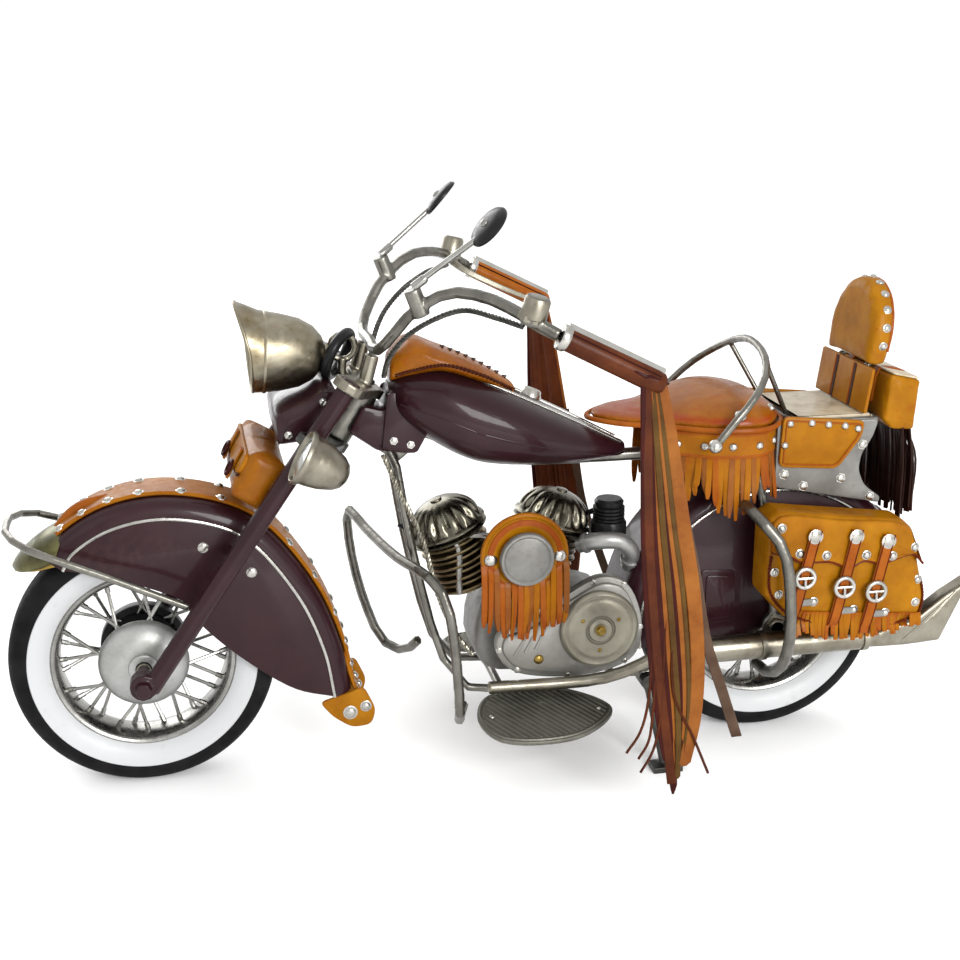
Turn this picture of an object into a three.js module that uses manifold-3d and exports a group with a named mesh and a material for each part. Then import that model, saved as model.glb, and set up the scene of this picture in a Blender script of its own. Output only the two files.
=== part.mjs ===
// A tinplate model of a 1940s touring motorcycle with leather luggage and fringes.
// Millimetres, +Z up. The front points along -X and the rider's left-hand side (kick stand) along -Y.
// Lengths along the machine are written as distances behind the front axle, and one group moves
// everything so that the origin is on the ground under the middle of the model.
import * as THREE from 'three';
import { mergeVertices } from 'three/addons/utils/BufferGeometryUtils.js';
import Module from 'manifold-3d';

const wasm = await Module();
wasm.setup();

// ---- driving dimensions -------------------------------------------------------------------

const FRONT_AXLE_X = -151;        // the front axle, from the origin
const WHEELBASE = 272;
const GAP = 0.35;                 // air between pieces that touch on the real model

const TYRE_RADIUS = 55;
const TYRE_HALF_WIDTH = 12.5;
const TYRE_SIDES = 32;            // one flat side is at the bottom, so the tyre stands on it
const AXLE_Z = TYRE_RADIUS * Math.cos(Math.PI / TYRE_SIDES);
const RIM_RADIUS = 37.4;
const RIM_INNER_RADIUS = 34;
const SPOKES = 20;
const AXLE_RADIUS = 3;
const FRONT_COVER_REACH = 19;     // how far the hub covers stand out to the left
const REAR_COVER_REACH = 17;

const RAKE = 34.5 * Math.PI / 180;  // the steering axis leans back by this angle
const HEAD_X = 92;                // a point on the steering axis
const HEAD_Z = 160;
const FORK_LEG_OFFSET = 13;       // the legs stand this far ahead of the steering axis
const FORK_LEG_Y = 35;
const FORK_LEG_RADIUS = 4;
const STEM_RADIUS = 3;
const HEADSTOCK_RADIUS = 7.5;
const HEADSTOCK_LOW = -17.5;      // its ends, along the steering axis
const HEADSTOCK_HIGH = 4.5;

const FRONT_FENDER_HALF_WIDTH = 17;
const REAR_FENDER_HALF_WIDTH = 20;
const REAR_FENDER_RADIUS = 69;
const FENDER_WALL = 1.5;

const FRAME_TUBE_RADIUS = 2;
const BACKBONE_RADIUS = 3;
const RAIL_Y = 18;                // bottom rails, either side of the engine
const STAY_Y = 22.6;              // rear stays, just outside the rear fender
const DROPOUT_INNER_Y = 20.6;     // the round plates that hold the rear axle
const DROPOUT_OUTER_Y = 24.6;

const CRANKCASE_HALF_WIDTH = 15.2;
const CYLINDER_RADIUS = 15;
const CYLINDER_FINS = 4;
const FIN_THICKNESS = 2;
const SISSY_LEG_Y = 13;
const BAR_RADIUS = 2.5;
const BAR_HALF_SPAN = 90;
const HEADLIGHT_RADIUS = 16.5;
const FOG_LAMP_RADIUS = 11;

// ---- finishes -----------------------------------------------------------------------------

const finishes = {
  paint: { color: 0x45282e, roughness: 0.28, metalness: 0.3 },
  pewter: { color: 0x9c9a8c, roughness: 0.35, metalness: 0.9 },
  chrome: { color: 0xc4c6c4, roughness: 0.2, metalness: 1 },
  casting: { color: 0x8a8c85, roughness: 0.55, metalness: 0.8 },
  iron: { color: 0x4a4c48, roughness: 0.6, metalness: 0.7 },
  tan: { color: 0xbe7f2c, roughness: 0.45, metalness: 0 },
  brown: { color: 0x7d3f26, roughness: 0.6, metalness: 0 },
  rubber: { color: 0x1b1b1d, roughness: 0.75, metalness: 0 },
  glass: { color: 0xcfd6d2, roughness: 0.1, metalness: 0 },
};

// ---- helpers ------------------------------------------------------------------------------

const at = (x, y, z) => new THREE.Vector3(x, y, z);

const flat = (points) => points.map(([x, y]) => new THREE.Vector2(x, y));

function toSolid(geometry) {
  const bare = geometry.clone();
  bare.deleteAttribute('normal');
  bare.deleteAttribute('uv');
  const merged = mergeVertices(bare, 1e-4);
  return new wasm.Manifold(new wasm.Mesh({
    numProp: 3,
    vertProperties: new Float32Array(merged.attributes.position.array),
    triVerts: new Uint32Array(merged.index.array),
  }));
}

function toGeometry(solid) {
  const mesh = solid.getMesh();
  const geometry = new THREE.BufferGeometry();
  geometry.setAttribute('position', new THREE.BufferAttribute(mesh.vertProperties, 3));
  geometry.setIndex(new THREE.BufferAttribute(mesh.triVerts, 1));
  return geometry;
}

function join(first, ...others) {
  const whole = others.reduce((sum, each) => sum.add(toSolid(each)), toSolid(first));
  return toGeometry(whole);
}

function cut(body, ...tools) {
  const rest = tools.reduce((left, each) => left.subtract(toSolid(each)), toSolid(body));
  return toGeometry(rest);
}

const common = (a, b) => toGeometry(toSolid(a).intersect(toSolid(b)));

function polygon(radius, sides) {
  const step = 2 * Math.PI / sides;
  const corners = Array.from({ length: sides }, (_, i) => [
    radius * Math.cos((i + 0.5) * step),
    radius * Math.sin((i + 0.5) * step),
  ]);
  return new THREE.Shape(flat(corners));
}

// A round bar through the given points, bent in smooth curves.
function tube(points, radius, { steps = 4 * (points.length - 1), sides = 8 } = {}) {
  const bent = points.length > 2;
  const path = bent
    ? new THREE.CatmullRomCurve3(points, false, 'centripetal')
    : new THREE.LineCurve3(...points);
  return new THREE.ExtrudeGeometry(polygon(radius, sides), { steps: bent ? steps : 1, extrudePath: path });
}

// A turned piece: the profile is [radius, distance along the axis], and the axis runs from a
// point along a direction. The profile is read from the back of the piece to its front.
function turned(profile, sides, origin = at(0, 0, 0), direction = at(0, 1, 0)) {
  const turn = new THREE.Quaternion().setFromUnitVectors(at(0, 1, 0), direction.clone().normalize());
  const geometry = new THREE.LatheGeometry(flat(profile), sides).applyQuaternion(turn);
  return geometry.translate(origin.x, origin.y, origin.z);
}

// A cylinder between two points.
function rod(from, to, radius, sides = 12) {
  const length = from.distanceTo(to);
  return turned([[0, 0], [radius, 0], [radius, length], [0, length]], sides, from, to.clone().sub(from));
}

// A plate seen from the side: the outline is [x, z], between two values of y, with rounded edges.
function slab(outline, y1, y2, round = 0) {
  const low = Math.min(y1, y2);
  const high = Math.max(y1, y2);
  const geometry = new THREE.ExtrudeGeometry(new THREE.Shape(flat(outline)), {
    depth: high - low - 2 * round,
    bevelEnabled: round > 0,
    bevelThickness: round,
    bevelSize: round,
    bevelOffset: -round,
    bevelSegments: 2,
  });
  return geometry.rotateX(Math.PI / 2).translate(0, high - round, 0);
}

// A plate lying flat: the outline is [x, y], and z is its underside.
function sheet(outline, z, thickness) {
  const shape = new THREE.Shape(flat(outline));
  return new THREE.ExtrudeGeometry(shape, { depth: thickness, bevelEnabled: false }).translate(0, 0, z);
}

function smooth(points, count) {
  return new THREE.SplineCurve(flat(points)).getPoints(count).map((p) => [p.x, p.y]);
}

// Points of a closed outline, without the repeated last one.
const smoothLoop = (points, count) => smooth([...points, points[0]], count).slice(0, -1);

// Points on a circle round (x, z), between two angles in degrees.
function arc(x, z, radius, from, to, count) {
  return Array.from({ length: count + 1 }, (_, i) => {
    const angle = (from + (to - from) * i / count) * Math.PI / 180;
    return [x + radius * Math.cos(angle), z + radius * Math.sin(angle)];
  });
}

// A skin stretched over rings of points, closed at both ends. All rings have the same number of
// points and turn the same way: counterclockwise, seen looking from the last ring to the first.
function loft(rings) {
  const count = rings[0].length;
  const vertices = [...rings.flat()];
  const faces = [];
  for (let r = 0; r < rings.length - 1; r++) {
    for (let i = 0; i < count; i++) {
      const a = r * count + i;
      const b = r * count + (i + 1) % count;
      faces.push(a, b, b + count, a, b + count, a + count);
    }
  }
  for (const [ring, flip] of [[0, true], [rings.length - 1, false]]) {
    const middle = rings[ring].reduce((sum, p) => sum.add(p), at(0, 0, 0)).divideScalar(count);
    vertices.push(middle);
    for (let i = 0; i < count; i++) {
      const a = ring * count + i;
      const b = ring * count + (i + 1) % count;
      faces.push(...(flip ? [b, a] : [a, b]), vertices.length - 1);
    }
  }
  const geometry = new THREE.BufferGeometry().setFromPoints(vertices);
  geometry.setIndex(faces);
  return geometry;
}

// A ring for a loft: an oval standing across the machine at x.
function crossOval(x, low, high, halfWidth, count = 16, fullness = 2.5) {
  return Array.from({ length: count }, (_, i) => {
    const angle = 2 * Math.PI * i / count;
    const c = Math.cos(angle);
    const s = Math.sin(angle);
    return at(
      x,
      halfWidth * Math.sign(c) * Math.abs(c) ** (2 / fullness),
      (low + high) / 2 + (high - low) / 2 * Math.sign(s) * Math.abs(s) ** (2 / fullness),
    );
  });
}

// A path across the machine from its left half. The last point may lie on the centre line.
function mirrorPath(half) {
  const other = half.map((p) => at(p.x, -p.y, p.z)).reverse();
  return [...half, ...(half[half.length - 1].y === 0 ? other.slice(1) : other)];
}

const motorcycle = new THREE.Group();
motorcycle.position.x = FRONT_AXLE_X;

function add(name, geometry, finish, parent = motorcycle) {
  const mesh = new THREE.Mesh(geometry, new THREE.MeshStandardMaterial(finishes[finish]));
  mesh.name = name;
  parent.add(mesh);
}

const sides = [['left', -1], ['right', 1]];

// ---- wheels -------------------------------------------------------------------------------

function tyre() {
  const outer = [[38, -8], [38, 8], [41, 11], [46.5, TYRE_HALF_WIDTH], [51.5, 11.3], [TYRE_RADIUS, 7]];
  const mirrored = outer.slice(2).reverse().map(([r, y]) => [r, -y]);
  const profile = [...outer.slice(1), ...mirrored, outer[0], outer[1]];
  return new THREE.LatheGeometry(flat(profile.reverse()), TYRE_SIDES).rotateY(Math.PI / TYRE_SIDES);
}

// Rim, spokes and hub in one piece. The left side of the hub has a domed cover, the right side a drum.
function wheel(coverReach) {
  const flange = 8.5;
  const rim = [
    [RIM_INNER_RADIUS, -5], [36, -flange], [RIM_RADIUS, -flange],
    [RIM_RADIUS, flange], [36, flange], [RIM_INNER_RADIUS, 5],
  ];
  const bore = AXLE_RADIUS + GAP;
  const hub = [
    [bore, -coverReach], [8, 0.6 - coverReach], [15, 3 - coverReach], [18.5, 6 - coverReach],
    [18.5, 7.5 - coverReach],
    [7, -9], [7, 8], [16, 9], [16, 14], [bore, 15],
  ];
  const ring = (profile, sideCount) => new THREE.LatheGeometry(flat([...profile, profile[0]]), sideCount);
  const spokes = Array.from({ length: SPOKES }, (_, i) => {
    const angle = 2 * Math.PI * i / SPOKES;
    const near = i % 2 ? 1 : -1;
    const lean = (i % 4 < 2 ? 1 : -1) * 0.32;
    return tube([
      at(12 * Math.cos(angle - lean), near * 10, 12 * Math.sin(angle - lean)),
      at(35 * Math.cos(angle), near * 1.5, 35 * Math.sin(angle)),
    ], 0.9, { sides: 3 });
  });
  return join(ring(rim, TYRE_SIDES), ring(hub, 16), ...spokes);
}

function addWheel(name, x, coverReach) {
  const group = new THREE.Group();
  group.position.set(x, 0, AXLE_Z);
  motorcycle.add(group);
  add(`${name}_tyre`, tyre(), 'rubber', group);
  add(`${name}_wheel`, wheel(coverReach), 'chrome', group);
}

addWheel('front', 0, FRONT_COVER_REACH);
addWheel('rear', WHEELBASE, REAR_COVER_REACH);

// ---- frame --------------------------------------------------------------------------------

const backboneLine = [at(97, 0, 155), at(125, 0, 143), at(152, 0, 131.5), at(180, 0, 130), at(230, 0, 130)];

// The side stand swings beside a short lug on the left bottom rail.
const standPivot = at(214, -24.5, 33.5);
const STAND_LUG_Y = -21.5;
const STAND_EYE_RADIUS = 3.5;

// A round bar on the steering axis, between two distances from the head point.
function headRod(low, high, radius) {
  return rod(at(0, 0, low), at(0, 0, high), radius, 16).rotateY(RAKE).translate(HEAD_X, 0, HEAD_Z);
}

function frame() {
  const headstock = headRod(HEADSTOCK_LOW, HEADSTOCK_HIGH, HEADSTOCK_RADIUS);
  const bore = headRod(HEADSTOCK_LOW - 5, HEADSTOCK_HIGH + 5, STEM_RADIUS + GAP);
  const loops = sides.flatMap(([, side]) => [
    tube([
      at(101, side * 3, 147), at(105.5, side * 9, 139), at(112, side * 12, 101), at(124, side * 14, 51),
      at(132, side * 16, 36), at(146, side * RAIL_Y, 32.5), at(205, side * RAIL_Y, 35),
      at(240, side * STAY_Y, 41),
      at(WHEELBASE, side * STAY_Y, AXLE_Z),
    ], FRAME_TUBE_RADIUS, { steps: 15, sides: 6 }),
    tube([
      at(WHEELBASE, side * STAY_Y, AXLE_Z), at(262, side * STAY_Y, 122), at(260, side * 20, 130),
      at(258, 0, 133),
    ], FRAME_TUBE_RADIUS, { steps: 7, sides: 6 }),
    rod(at(WHEELBASE, side * DROPOUT_INNER_Y, AXLE_Z), at(WHEELBASE, side * DROPOUT_OUTER_Y, AXLE_Z), 6),
  ]);
  const seatPost = tube([at(230, 0, 130), at(232, 0, 145)], BACKBONE_RADIUS);
  const tail = tube([at(228, 0, 130), at(258, 0, 133), at(298, 0, 138)], BACKBONE_RADIUS, { steps: 6 });
  const crossMembers = [
    rod(at(150, -RAIL_Y, 32.5), at(150, RAIL_Y, 32.5), FRAME_TUBE_RADIUS, 8),
    rod(at(200, -RAIL_Y, 34.8), at(200, RAIL_Y, 34.8), FRAME_TUBE_RADIUS, 8),
  ];
  const neck = slab([[99, 140], [102, 154], [105, 153], [109, 150], [118, 142], [108, 134]], -8, 8);
  const standLug = rod(
    at(standPivot.x, -RAIL_Y + 1, standPivot.z), at(standPivot.x, STAND_LUG_Y, standPivot.z),
    STAND_EYE_RADIUS, 10,
  );
  const axleBore = rod(at(WHEELBASE, -40, AXLE_Z), at(WHEELBASE, 40, AXLE_Z), AXLE_RADIUS + GAP);
  const backbone = tube(backboneLine, BACKBONE_RADIUS, { steps: 9 });
  const whole = join(headstock, backbone, ...loops, seatPost, tail, ...crossMembers, neck, standLug);
  return cut(whole, bore, axleBore);
}

add('frame', frame(), 'iron');

// The axle has a nut outside each dropout plate.
function rearAxle() {
  const nutRadius = 4;
  const inner = DROPOUT_OUTER_Y + GAP;
  const outer = inner + 2;
  return turned([
    [0, -outer], [nutRadius, -outer], [nutRadius, -inner], [AXLE_RADIUS, -inner],
    [AXLE_RADIUS, inner], [nutRadius, inner], [nutRadius, outer], [0, outer],
  ], 10, at(WHEELBASE, 0, AXLE_Z));
}

add('rear_axle', rearAxle(), 'pewter');

// ---- engine -------------------------------------------------------------------------------

const HEAD_OVERLAP = 8.5;         // the head starts this far below the top point of its bank
const frontBank = { foot: at(142, 0, 72), top: at(128, 0, 107) };
const rearBank = { foot: at(166, 0, 72), top: at(178, 0, 108) };

function crankcase() {
  const outline = smoothLoop([
    [139, 52], [143, 42], [156, 38.5], [190, 38.5], [200, 43], [202, 58], [197, 71], [184, 74], [166, 70],
    [150, 74], [141, 68],
  ], 20);
  return slab(outline, -CRANKCASE_HALF_WIDTH, CRANKCASE_HALF_WIDTH, 3);
}

// A barrel with cooling fins, from the crankcase to the underside of its head.
function cylinder({ foot, top }) {
  const core = CYLINDER_RADIUS - 4;
  const start = 6;
  const length = foot.distanceTo(top) - HEAD_OVERLAP - 0.5;
  const pitch = (length - start) / CYLINDER_FINS;
  const profile = [[0, start - 3], [core, start - 3]];
  for (let i = 0; i < CYLINDER_FINS; i++) {
    const low = start + i * pitch;
    const high = low + FIN_THICKNESS;
    profile.push([core, low], [CYLINDER_RADIUS, low + 0.6], [CYLINDER_RADIUS, high], [core, high + 0.6]);
  }
  profile.push([core, length], [0, length]);
  return turned(profile, 14, foot, top.clone().sub(foot));
}

// The head is a low dome with a rounded rim.
function cylinderHead({ foot, top }) {
  const base = foot.distanceTo(top) - HEAD_OVERLAP;
  const r = CYLINDER_RADIUS + 2;
  return turned([
    [0, base], [r - 1, base], [r, base + 3], [r - 1, base + 8],
    [r - 5, base + 13], [r - 11, base + 16], [0, base + 17],
  ], 20, foot, top.clone().sub(foot));
}

// The leaning barrels are cut off flat, just above the crankcase.
const belowBarrels = slab([[120, 20], [220, 20], [220, 74.6], [120, 74.6]], -30, 30);

add('crankcase', crankcase(), 'casting');
for (const [name, bank] of [['front', frontBank], ['rear', rearBank]]) {
  add(`${name}_cylinder`, cut(cylinder(bank), belowBarrels), 'casting');
  add(`${name}_cylinder_head`, cylinderHead(bank), 'pewter');
}

const PRIMARY_OUTER_Y = -29;

function primaryCover() {
  const outline = smoothLoop([
    [146, 54], [152, 45], [166, 40.5], [192, 40.5], [207, 47], [210, 62], [203, 80], [192, 84], [178, 78],
    [160, 66], [148, 62],
  ], 20);
  return slab(outline, PRIMARY_OUTER_Y + 7.5, PRIMARY_OUTER_Y, 2.2);
}

function clutchCover() {
  const centre = at(190, PRIMARY_OUTER_Y - GAP, 62);
  const profile = [[0, 0], [17, 0], [17, 2.2], [15.4, 3.2], [6, 3.6], [3, 5.2], [0, 5.6]];
  return turned(profile, 20, centre, at(0, -1, 0));
}

add('primary_cover', primaryCover(), 'casting');
add('clutch_cover', clutchCover(), 'pewter');

const airCleaner = at(156.5, 0, 98);
const AIR_CLEANER_RADIUS = 9;

function airCleanerBody() {
  const r = AIR_CLEANER_RADIUS;
  const lip = r + 2.2;
  return turned([
    [0, 13], [r / 2, 13], [r / 2, 25], [r, 27], [r, 35.5], [lip, 35.5], [lip, 38.5],
    [r + 0.5, 39.6], [0, 39.6],
  ], 20, airCleaner, at(0, -1, 0));
}

// A round leather surround with a broad tab that hangs down over the engine.
function airCleanerLeather() {
  const { x, z } = airCleaner;
  const [inner, outer] = [-32, -34];
  const round = arc(x, z, 18.5, -35, 215, 14);
  const plate = slab([...round, [x - 14.5, z - 40], [x + 12.5, z - 40]], inner, outer, 0.6);
  return cut(plate, rod(at(x, outer - 3, z), at(x, inner + 3, z), AIR_CLEANER_RADIUS + GAP, 20));
}

add('air_cleaner', airCleanerBody(), 'pewter');
add('air_cleaner_leather', airCleanerLeather(), 'tan');

function oilTank() {
  return turned([
    [0, 0], [7.5, 0], [7.8, 2], [7.8, 10], [7, 11], [7, 13], [6.2, 13], [6.2, 19], [5, 20.5], [0, 20.5],
  ], 16, at(200, -6, 92), at(0, 0, 1));
}

add('oil_tank', oilTank(), 'iron');

// A bent pipe, a long silencer and a fishtail that ends at the very back of the model.
function exhaust() {
  const y = -33.6;
  const pipeRadius = 2.8;
  const silencerRadius = 5.8;
  const pipe = tube([
    at(141, y, 40.5), at(172, y, 40), at(190, y, 40.5), at(203, y, 43.5), at(216, y, 49.5),
  ], pipeRadius, { steps: 9 });
  const silencer = turned([
    [0, 0], [pipeRadius + 0.2, 0], [silencerRadius, 8], [silencerRadius, 92], [4.6, 103], [0, 103],
  ], 14, at(214, y, 49.5), at(1, 0, 0.01));
  const tail = slab([
    [312, 46.2], [328, 46], [344, 47], [356.735, 75.3], [345, 68.5], [331, 58], [316, 54.5],
  ], y - 4.5, y + 4.5, 1.5);
  return join(pipe, silencer, tail);
}

add('exhaust', exhaust(), 'pewter');

// ---- guards, footboards and stand ---------------------------------------------------------

// One bent bar in front of the engine. Its right half stands further forward than the left.
function engineGuard() {
  return tube([
    at(133, -20.5, 28), at(129, -32, 27), at(127, -44, 34), at(126, -46, 50), at(121, -46, 86),
    at(116, -40, 93),
    at(106, -10, 93.5), at(98, 20, 96), at(92, 42, 99), at(92, 46, 92), at(94, 46, 74), at(100, 46, 50),
    at(107, 43, 34), at(115, 32, 33), at(120, 21, 42),
  ], 2.3, { steps: 30, sides: 6 });
}

add('engine_guard', engineGuard(), 'chrome');

// A leaf-shaped plate that slopes down outwards, on an arm from the bottom rail.
function footboard(side) {
  const reach = 29;
  const depth = 17.5;
  const slope = 0.18;
  const leaf = smoothLoop([
    [-reach, 0], [-reach * 0.75, -depth * 0.9], [reach * 0.35, -depth], [reach, 0], [reach * 0.35, depth],
    [-reach * 0.75, depth * 0.9],
  ], 18);
  const plate = sheet(leaf, 0, 1.8).rotateX(side * -slope).translate(164, side * 42, 30);
  const railSide = RAIL_Y + FRAME_TUBE_RADIUS + GAP;
  const arm = rod(at(163, side * railSide, 31), at(163, side * 36, 31), 1.8, 8);
  return join(plate, arm);
}

for (const [name, side] of sides) {
  add(`footboard_${name}`, footboard(side), 'iron');
}

// A bar that bulges out around the front of each saddlebag, from the top of the stay to the rail.
function rearGuard(side) {
  return tube([
    at(250, side * 26, 116), at(250.5, side * 38, 115), at(253, side * 48, 112), at(261, side * 54, 101),
    at(265, side * 55, 80), at(266, side * 54, 58), at(266, side * 46, 44), at(265, side * 34, 37.5),
    at(263, side * 25, 38.5),
  ], 2.6, { steps: 14 });
}

for (const [name, side] of sides) {
  add(`rear_guard_${name}`, rearGuard(side), 'chrome');
}

function sideStand() {
  const { x, z } = standPivot;
  const eye = rod(at(x, STAND_LUG_Y - GAP, z), at(x, STAND_LUG_Y - 5.5, z), STAND_EYE_RADIUS, 10);
  const leg = rod(standPivot, at(217, -41.5, 2.2), 2, 8);
  const foot = sheet([[211, -47], [224, -47], [224, -38], [211, -38]], 0, 2.6);
  return join(eye, leg, foot);
}

add('side_stand', sideStand(), 'iron');

// ---- tank, saddle and luggage -------------------------------------------------------------

const tankStations = [
  // [x, underside, top, half width]
  [105, 159, 167, 7], [110, 152, 171, 16], [124, 141, 173.5, 23], [141, 132.5, 168.5, 26],
  [165, 130, 157.5, 25],
  [188, 130, 146, 18.5], [202, 131, 138.5, 10], [207, 132.5, 136, 4],
];

function tank() {
  const shell = loft(tankStations.map(([x, low, high, w]) => crossOval(x, low, high, w)));
  return cut(shell, tube(backboneLine, BACKBONE_RADIUS + GAP, { steps: 9 }));
}

add('fuel_tank', tank(), 'paint');

// A thick leather pad that follows the top of the tank.
function tankPad() {
  const stations = [
    // [x, underside, top, half width]
    [105, 167, 178, 10], [113, 170.5, 186, 15], [126, 173.5, 181, 17.5], [142, 168, 174, 16],
    [158, 160.6, 165.4, 7],
  ];
  const pad = loft(stations.map(([x, low, high, w]) => crossOval(x, low, high, w, 14, 3)));
  const clearance = loft(tankStations.map(([x, low, high, w]) => crossOval(x, low, high + 0.7, w + 0.7)));
  return cut(pad, clearance);
}

add('tank_pad', tankPad(), 'tan');

// A skirted mudguard: a hollow bevelled shell, open below. The crown is its outline seen from
// the side; the edge is where its side plates end.
function fender(crown, edge, halfWidth) {
  const shape = new THREE.Shape(flat(crown));
  const bevel = 5;
  const shell = (inset) => new THREE.ExtrudeGeometry(shape, {
    depth: 2 * (halfWidth - bevel),
    bevelEnabled: true,
    bevelThickness: bevel - inset,
    bevelSize: bevel - inset,
    bevelOffset: -bevel,
    bevelSegments: 2,
  }).rotateX(Math.PI / 2).translate(0, halfWidth - bevel, 0);
  return common(cut(shell(0), shell(FENDER_WALL)), slab(edge, -60, 60));
}

const frontCrown = smooth([
  [-36, 103], [-31, 111], [-12, 122.5], [14, 126], [46, 116], [70, 87], [82, 58], [86, 36],
], 18);

// Two short spacers hold the fender between the fork legs.
function frontFender() {
  const closing = [[86, 0], [-36, 0]];
  const edge = [
    [-60, 105], [-29, 101], [20, 83], [25, 70], [43, 53.5], [63, 37], [100, 37], [100, 150], [-60, 150],
  ];
  const shell = fender([...frontCrown, ...closing], edge, FRONT_FENDER_HALF_WIDTH);
  const [x, z] = [37.2, 103];
  const innerY = FRONT_FENDER_HALF_WIDTH - 1;
  const outerY = FORK_LEG_Y - FORK_LEG_RADIUS - GAP;
  const spacers = sides.map(([, side]) => rod(at(x, side * innerY, z), at(x, side * outerY, z), 2.2, 8));
  return join(shell, ...spacers);
}

add('front_fender', frontFender(), 'paint');

// The line moved sideways, to the left of its direction.
function offset(line, distance) {
  return line.map(([x, z], i) => {
    const before = line[Math.max(i - 1, 0)];
    const after = line[Math.min(i + 1, line.length - 1)];
    const [dx, dz] = [after[0] - before[0], after[1] - before[1]];
    const scale = distance / Math.hypot(dx, dz);
    return [x - dz * scale, z + dx * scale];
  });
}

// A leather strip along the crown, with a wider mudflap at its lower end.
function fenderLeather() {
  const line = [...frontCrown.slice(3), [89, 30], [94.5, 16]];
  const outline = [...offset(line, 2.2), ...offset(line, 0.5).reverse()];
  const strip = slab(outline, -11, 11);
  const flap = common(slab(outline, -15, 15), slab([[60, 0], [110, 0], [110, 40], [60, 40]], -20, 20));
  return join(strip, flap);
}

add('fender_leather', fenderLeather(), 'tan');

function rearFender() {
  const [x, z] = [WHEELBASE, AXLE_Z];
  const crown = arc(x, z, REAR_FENDER_RADIUS, 190, 20, 17);
  const edge = [[190, 46], [300, 50], [322, 84], [345, 84], [345, 140], [190, 140]];
  const shell = fender([...crown, [x, 5]], edge, REAR_FENDER_HALF_WIDTH);
  return cut(shell, rod(at(x, -30, z), at(x, 30, z), AXLE_RADIUS + 1));
}

add('rear_fender', rearFender(), 'paint');

const SADDLE_X = 235;             // the outline is scaled about this point
const SADDLE_Z = 150;
const SADDLE_RISE = 9;            // the dome at the back of the saddle
const SADDLE_DOME_START = 205;

const saddleOutline = (scale) => smoothLoop([
  [191, 0], [200, -14], [216, -22], [238, -35], [258, -36], [270, -22], [273, 0],
  [270, 22], [258, 36], [238, 35], [216, 22], [200, 14],
], 28).map(([x, y]) => [SADDLE_X + (x - SADDLE_X) * scale, y * scale]);

function saddleTop(x, y) {
  const behind = Math.max(x - SADDLE_DOME_START, 0);
  return SADDLE_Z + SADDLE_RISE * Math.sin(Math.PI * behind / 90) ** 2 - 0.003 * y * y;
}

function saddle() {
  const levels = [
    // [scale of the outline, height at the edge, share of the dome]
    [0.86, 146.4, 0], [1, 147.6, 0.1], [1, 149, 0.4], [0.88, SADDLE_Z, 0.92], [0.6, SADDLE_Z, 1],
  ];
  const rings = levels.map(([scale, base, share]) => saddleOutline(scale).map(([x, y]) => at(
    x, y, Math.max(base, base + (saddleTop(x, y) - base) * share),
  )));
  return loft(rings);
}

add('saddle', saddle(), 'tan');

const CARRIER_HALF_WIDTH = 27;
const DECK_TOP = 147.75;          // just above the luggage deck

// The leather skirt under the saddle, open above and below, with the fringe as its lower part.
function saddleSkirt() {
  const outer = new THREE.Shape(flat(saddleOutline(0.97)));
  outer.holes.push(new THREE.Path(flat(saddleOutline(0.92))));
  const wall = new THREE.ExtrudeGeometry(outer, { depth: 27.5, bevelEnabled: false }).translate(0, 0, 118.5);
  const sideReach = slab([[221, 110], [263, 110], [263, 150], [221, 150]], -60, 60);
  const backReach = slab([[262, 139.8], [280, 139.8], [280, 150], [262, 150]], -60, 60);
  return common(wall, join(sideReach, backReach));
}

add('saddle_skirt', saddleSkirt(), 'tan');

// A chrome hoop over the back of the saddle, with two struts down to the luggage deck.
function saddleRail() {
  const half = [
    at(234, -41, 142), at(241, -41.5, 151), at(251, -38.5, 161), at(259, -30, 169), at(263, -17, 175),
    at(263.5, 0, 178),
  ];
  const struts = sides.map(([, side]) => rod(
    at(262, side * 21, 173.3), at(275.5, side * 14, DECK_TOP + GAP), 1.2, 8,
  ));
  return join(tube(mirrorPath(half), 1.8, { steps: 22, sides: 6 }), ...struts);
}

add('saddle_rail', saddleRail(), 'chrome');

// The luggage deck with a bracket plate down each side.
function rearCarrier() {
  const y = CARRIER_HALF_WIDTH;
  const thickness = 3.2;
  const deck = sheet([[274, -y], [313.5, -y], [313.5, y], [274, y]], DECK_TOP - GAP - thickness, thickness);
  const bracket = [[267, 117], [316.5, 108], [309, 147], [274, 147]];
  const plates = sides.map(([, side]) => slab(bracket, side * (y - 1.8), side * y));
  return join(deck, ...plates);
}

add('rear_carrier', rearCarrier(), 'casting');

const besideCarrier = CARRIER_HALF_WIDTH + GAP;

function sidePanel(side) {
  return slab([[271, 130], [298, 126], [306, 146], [271, 149.5]], side * besideCarrier, side * 29.2, 0.5);
}

function saddlebag(side) {
  const outline = [
    [257, 77], [257, 111], [262, 114.5], [319, 107.5], [324, 103], [332, 71], [330, 61], [298, 57.5],
    [267, 66],
  ];
  return slab(outline, side * besideCarrier, side * 46, 3);
}

for (const [name, side] of sides) {
  add(`side_panel_${name}`, sidePanel(side), 'tan');
  add(`saddlebag_${name}`, saddlebag(side), 'tan');
}

// Two legs and a cross bar that carry the backrest.
function sissyBar() {
  const legs = sides.map(([, side]) => tube([
    at(309.5, side * SISSY_LEG_Y, 148), at(311, side * SISSY_LEG_Y, 160),
    at(312.5, side * SISSY_LEG_Y, 168.6),
  ], 1.6, { steps: 3 }));
  return join(...legs, rod(at(311.4, -SISSY_LEG_Y, 162), at(311.4, SISSY_LEG_Y, 162), 1.4, 8));
}

add('sissy_bar', sissyBar(), 'chrome');

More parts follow.
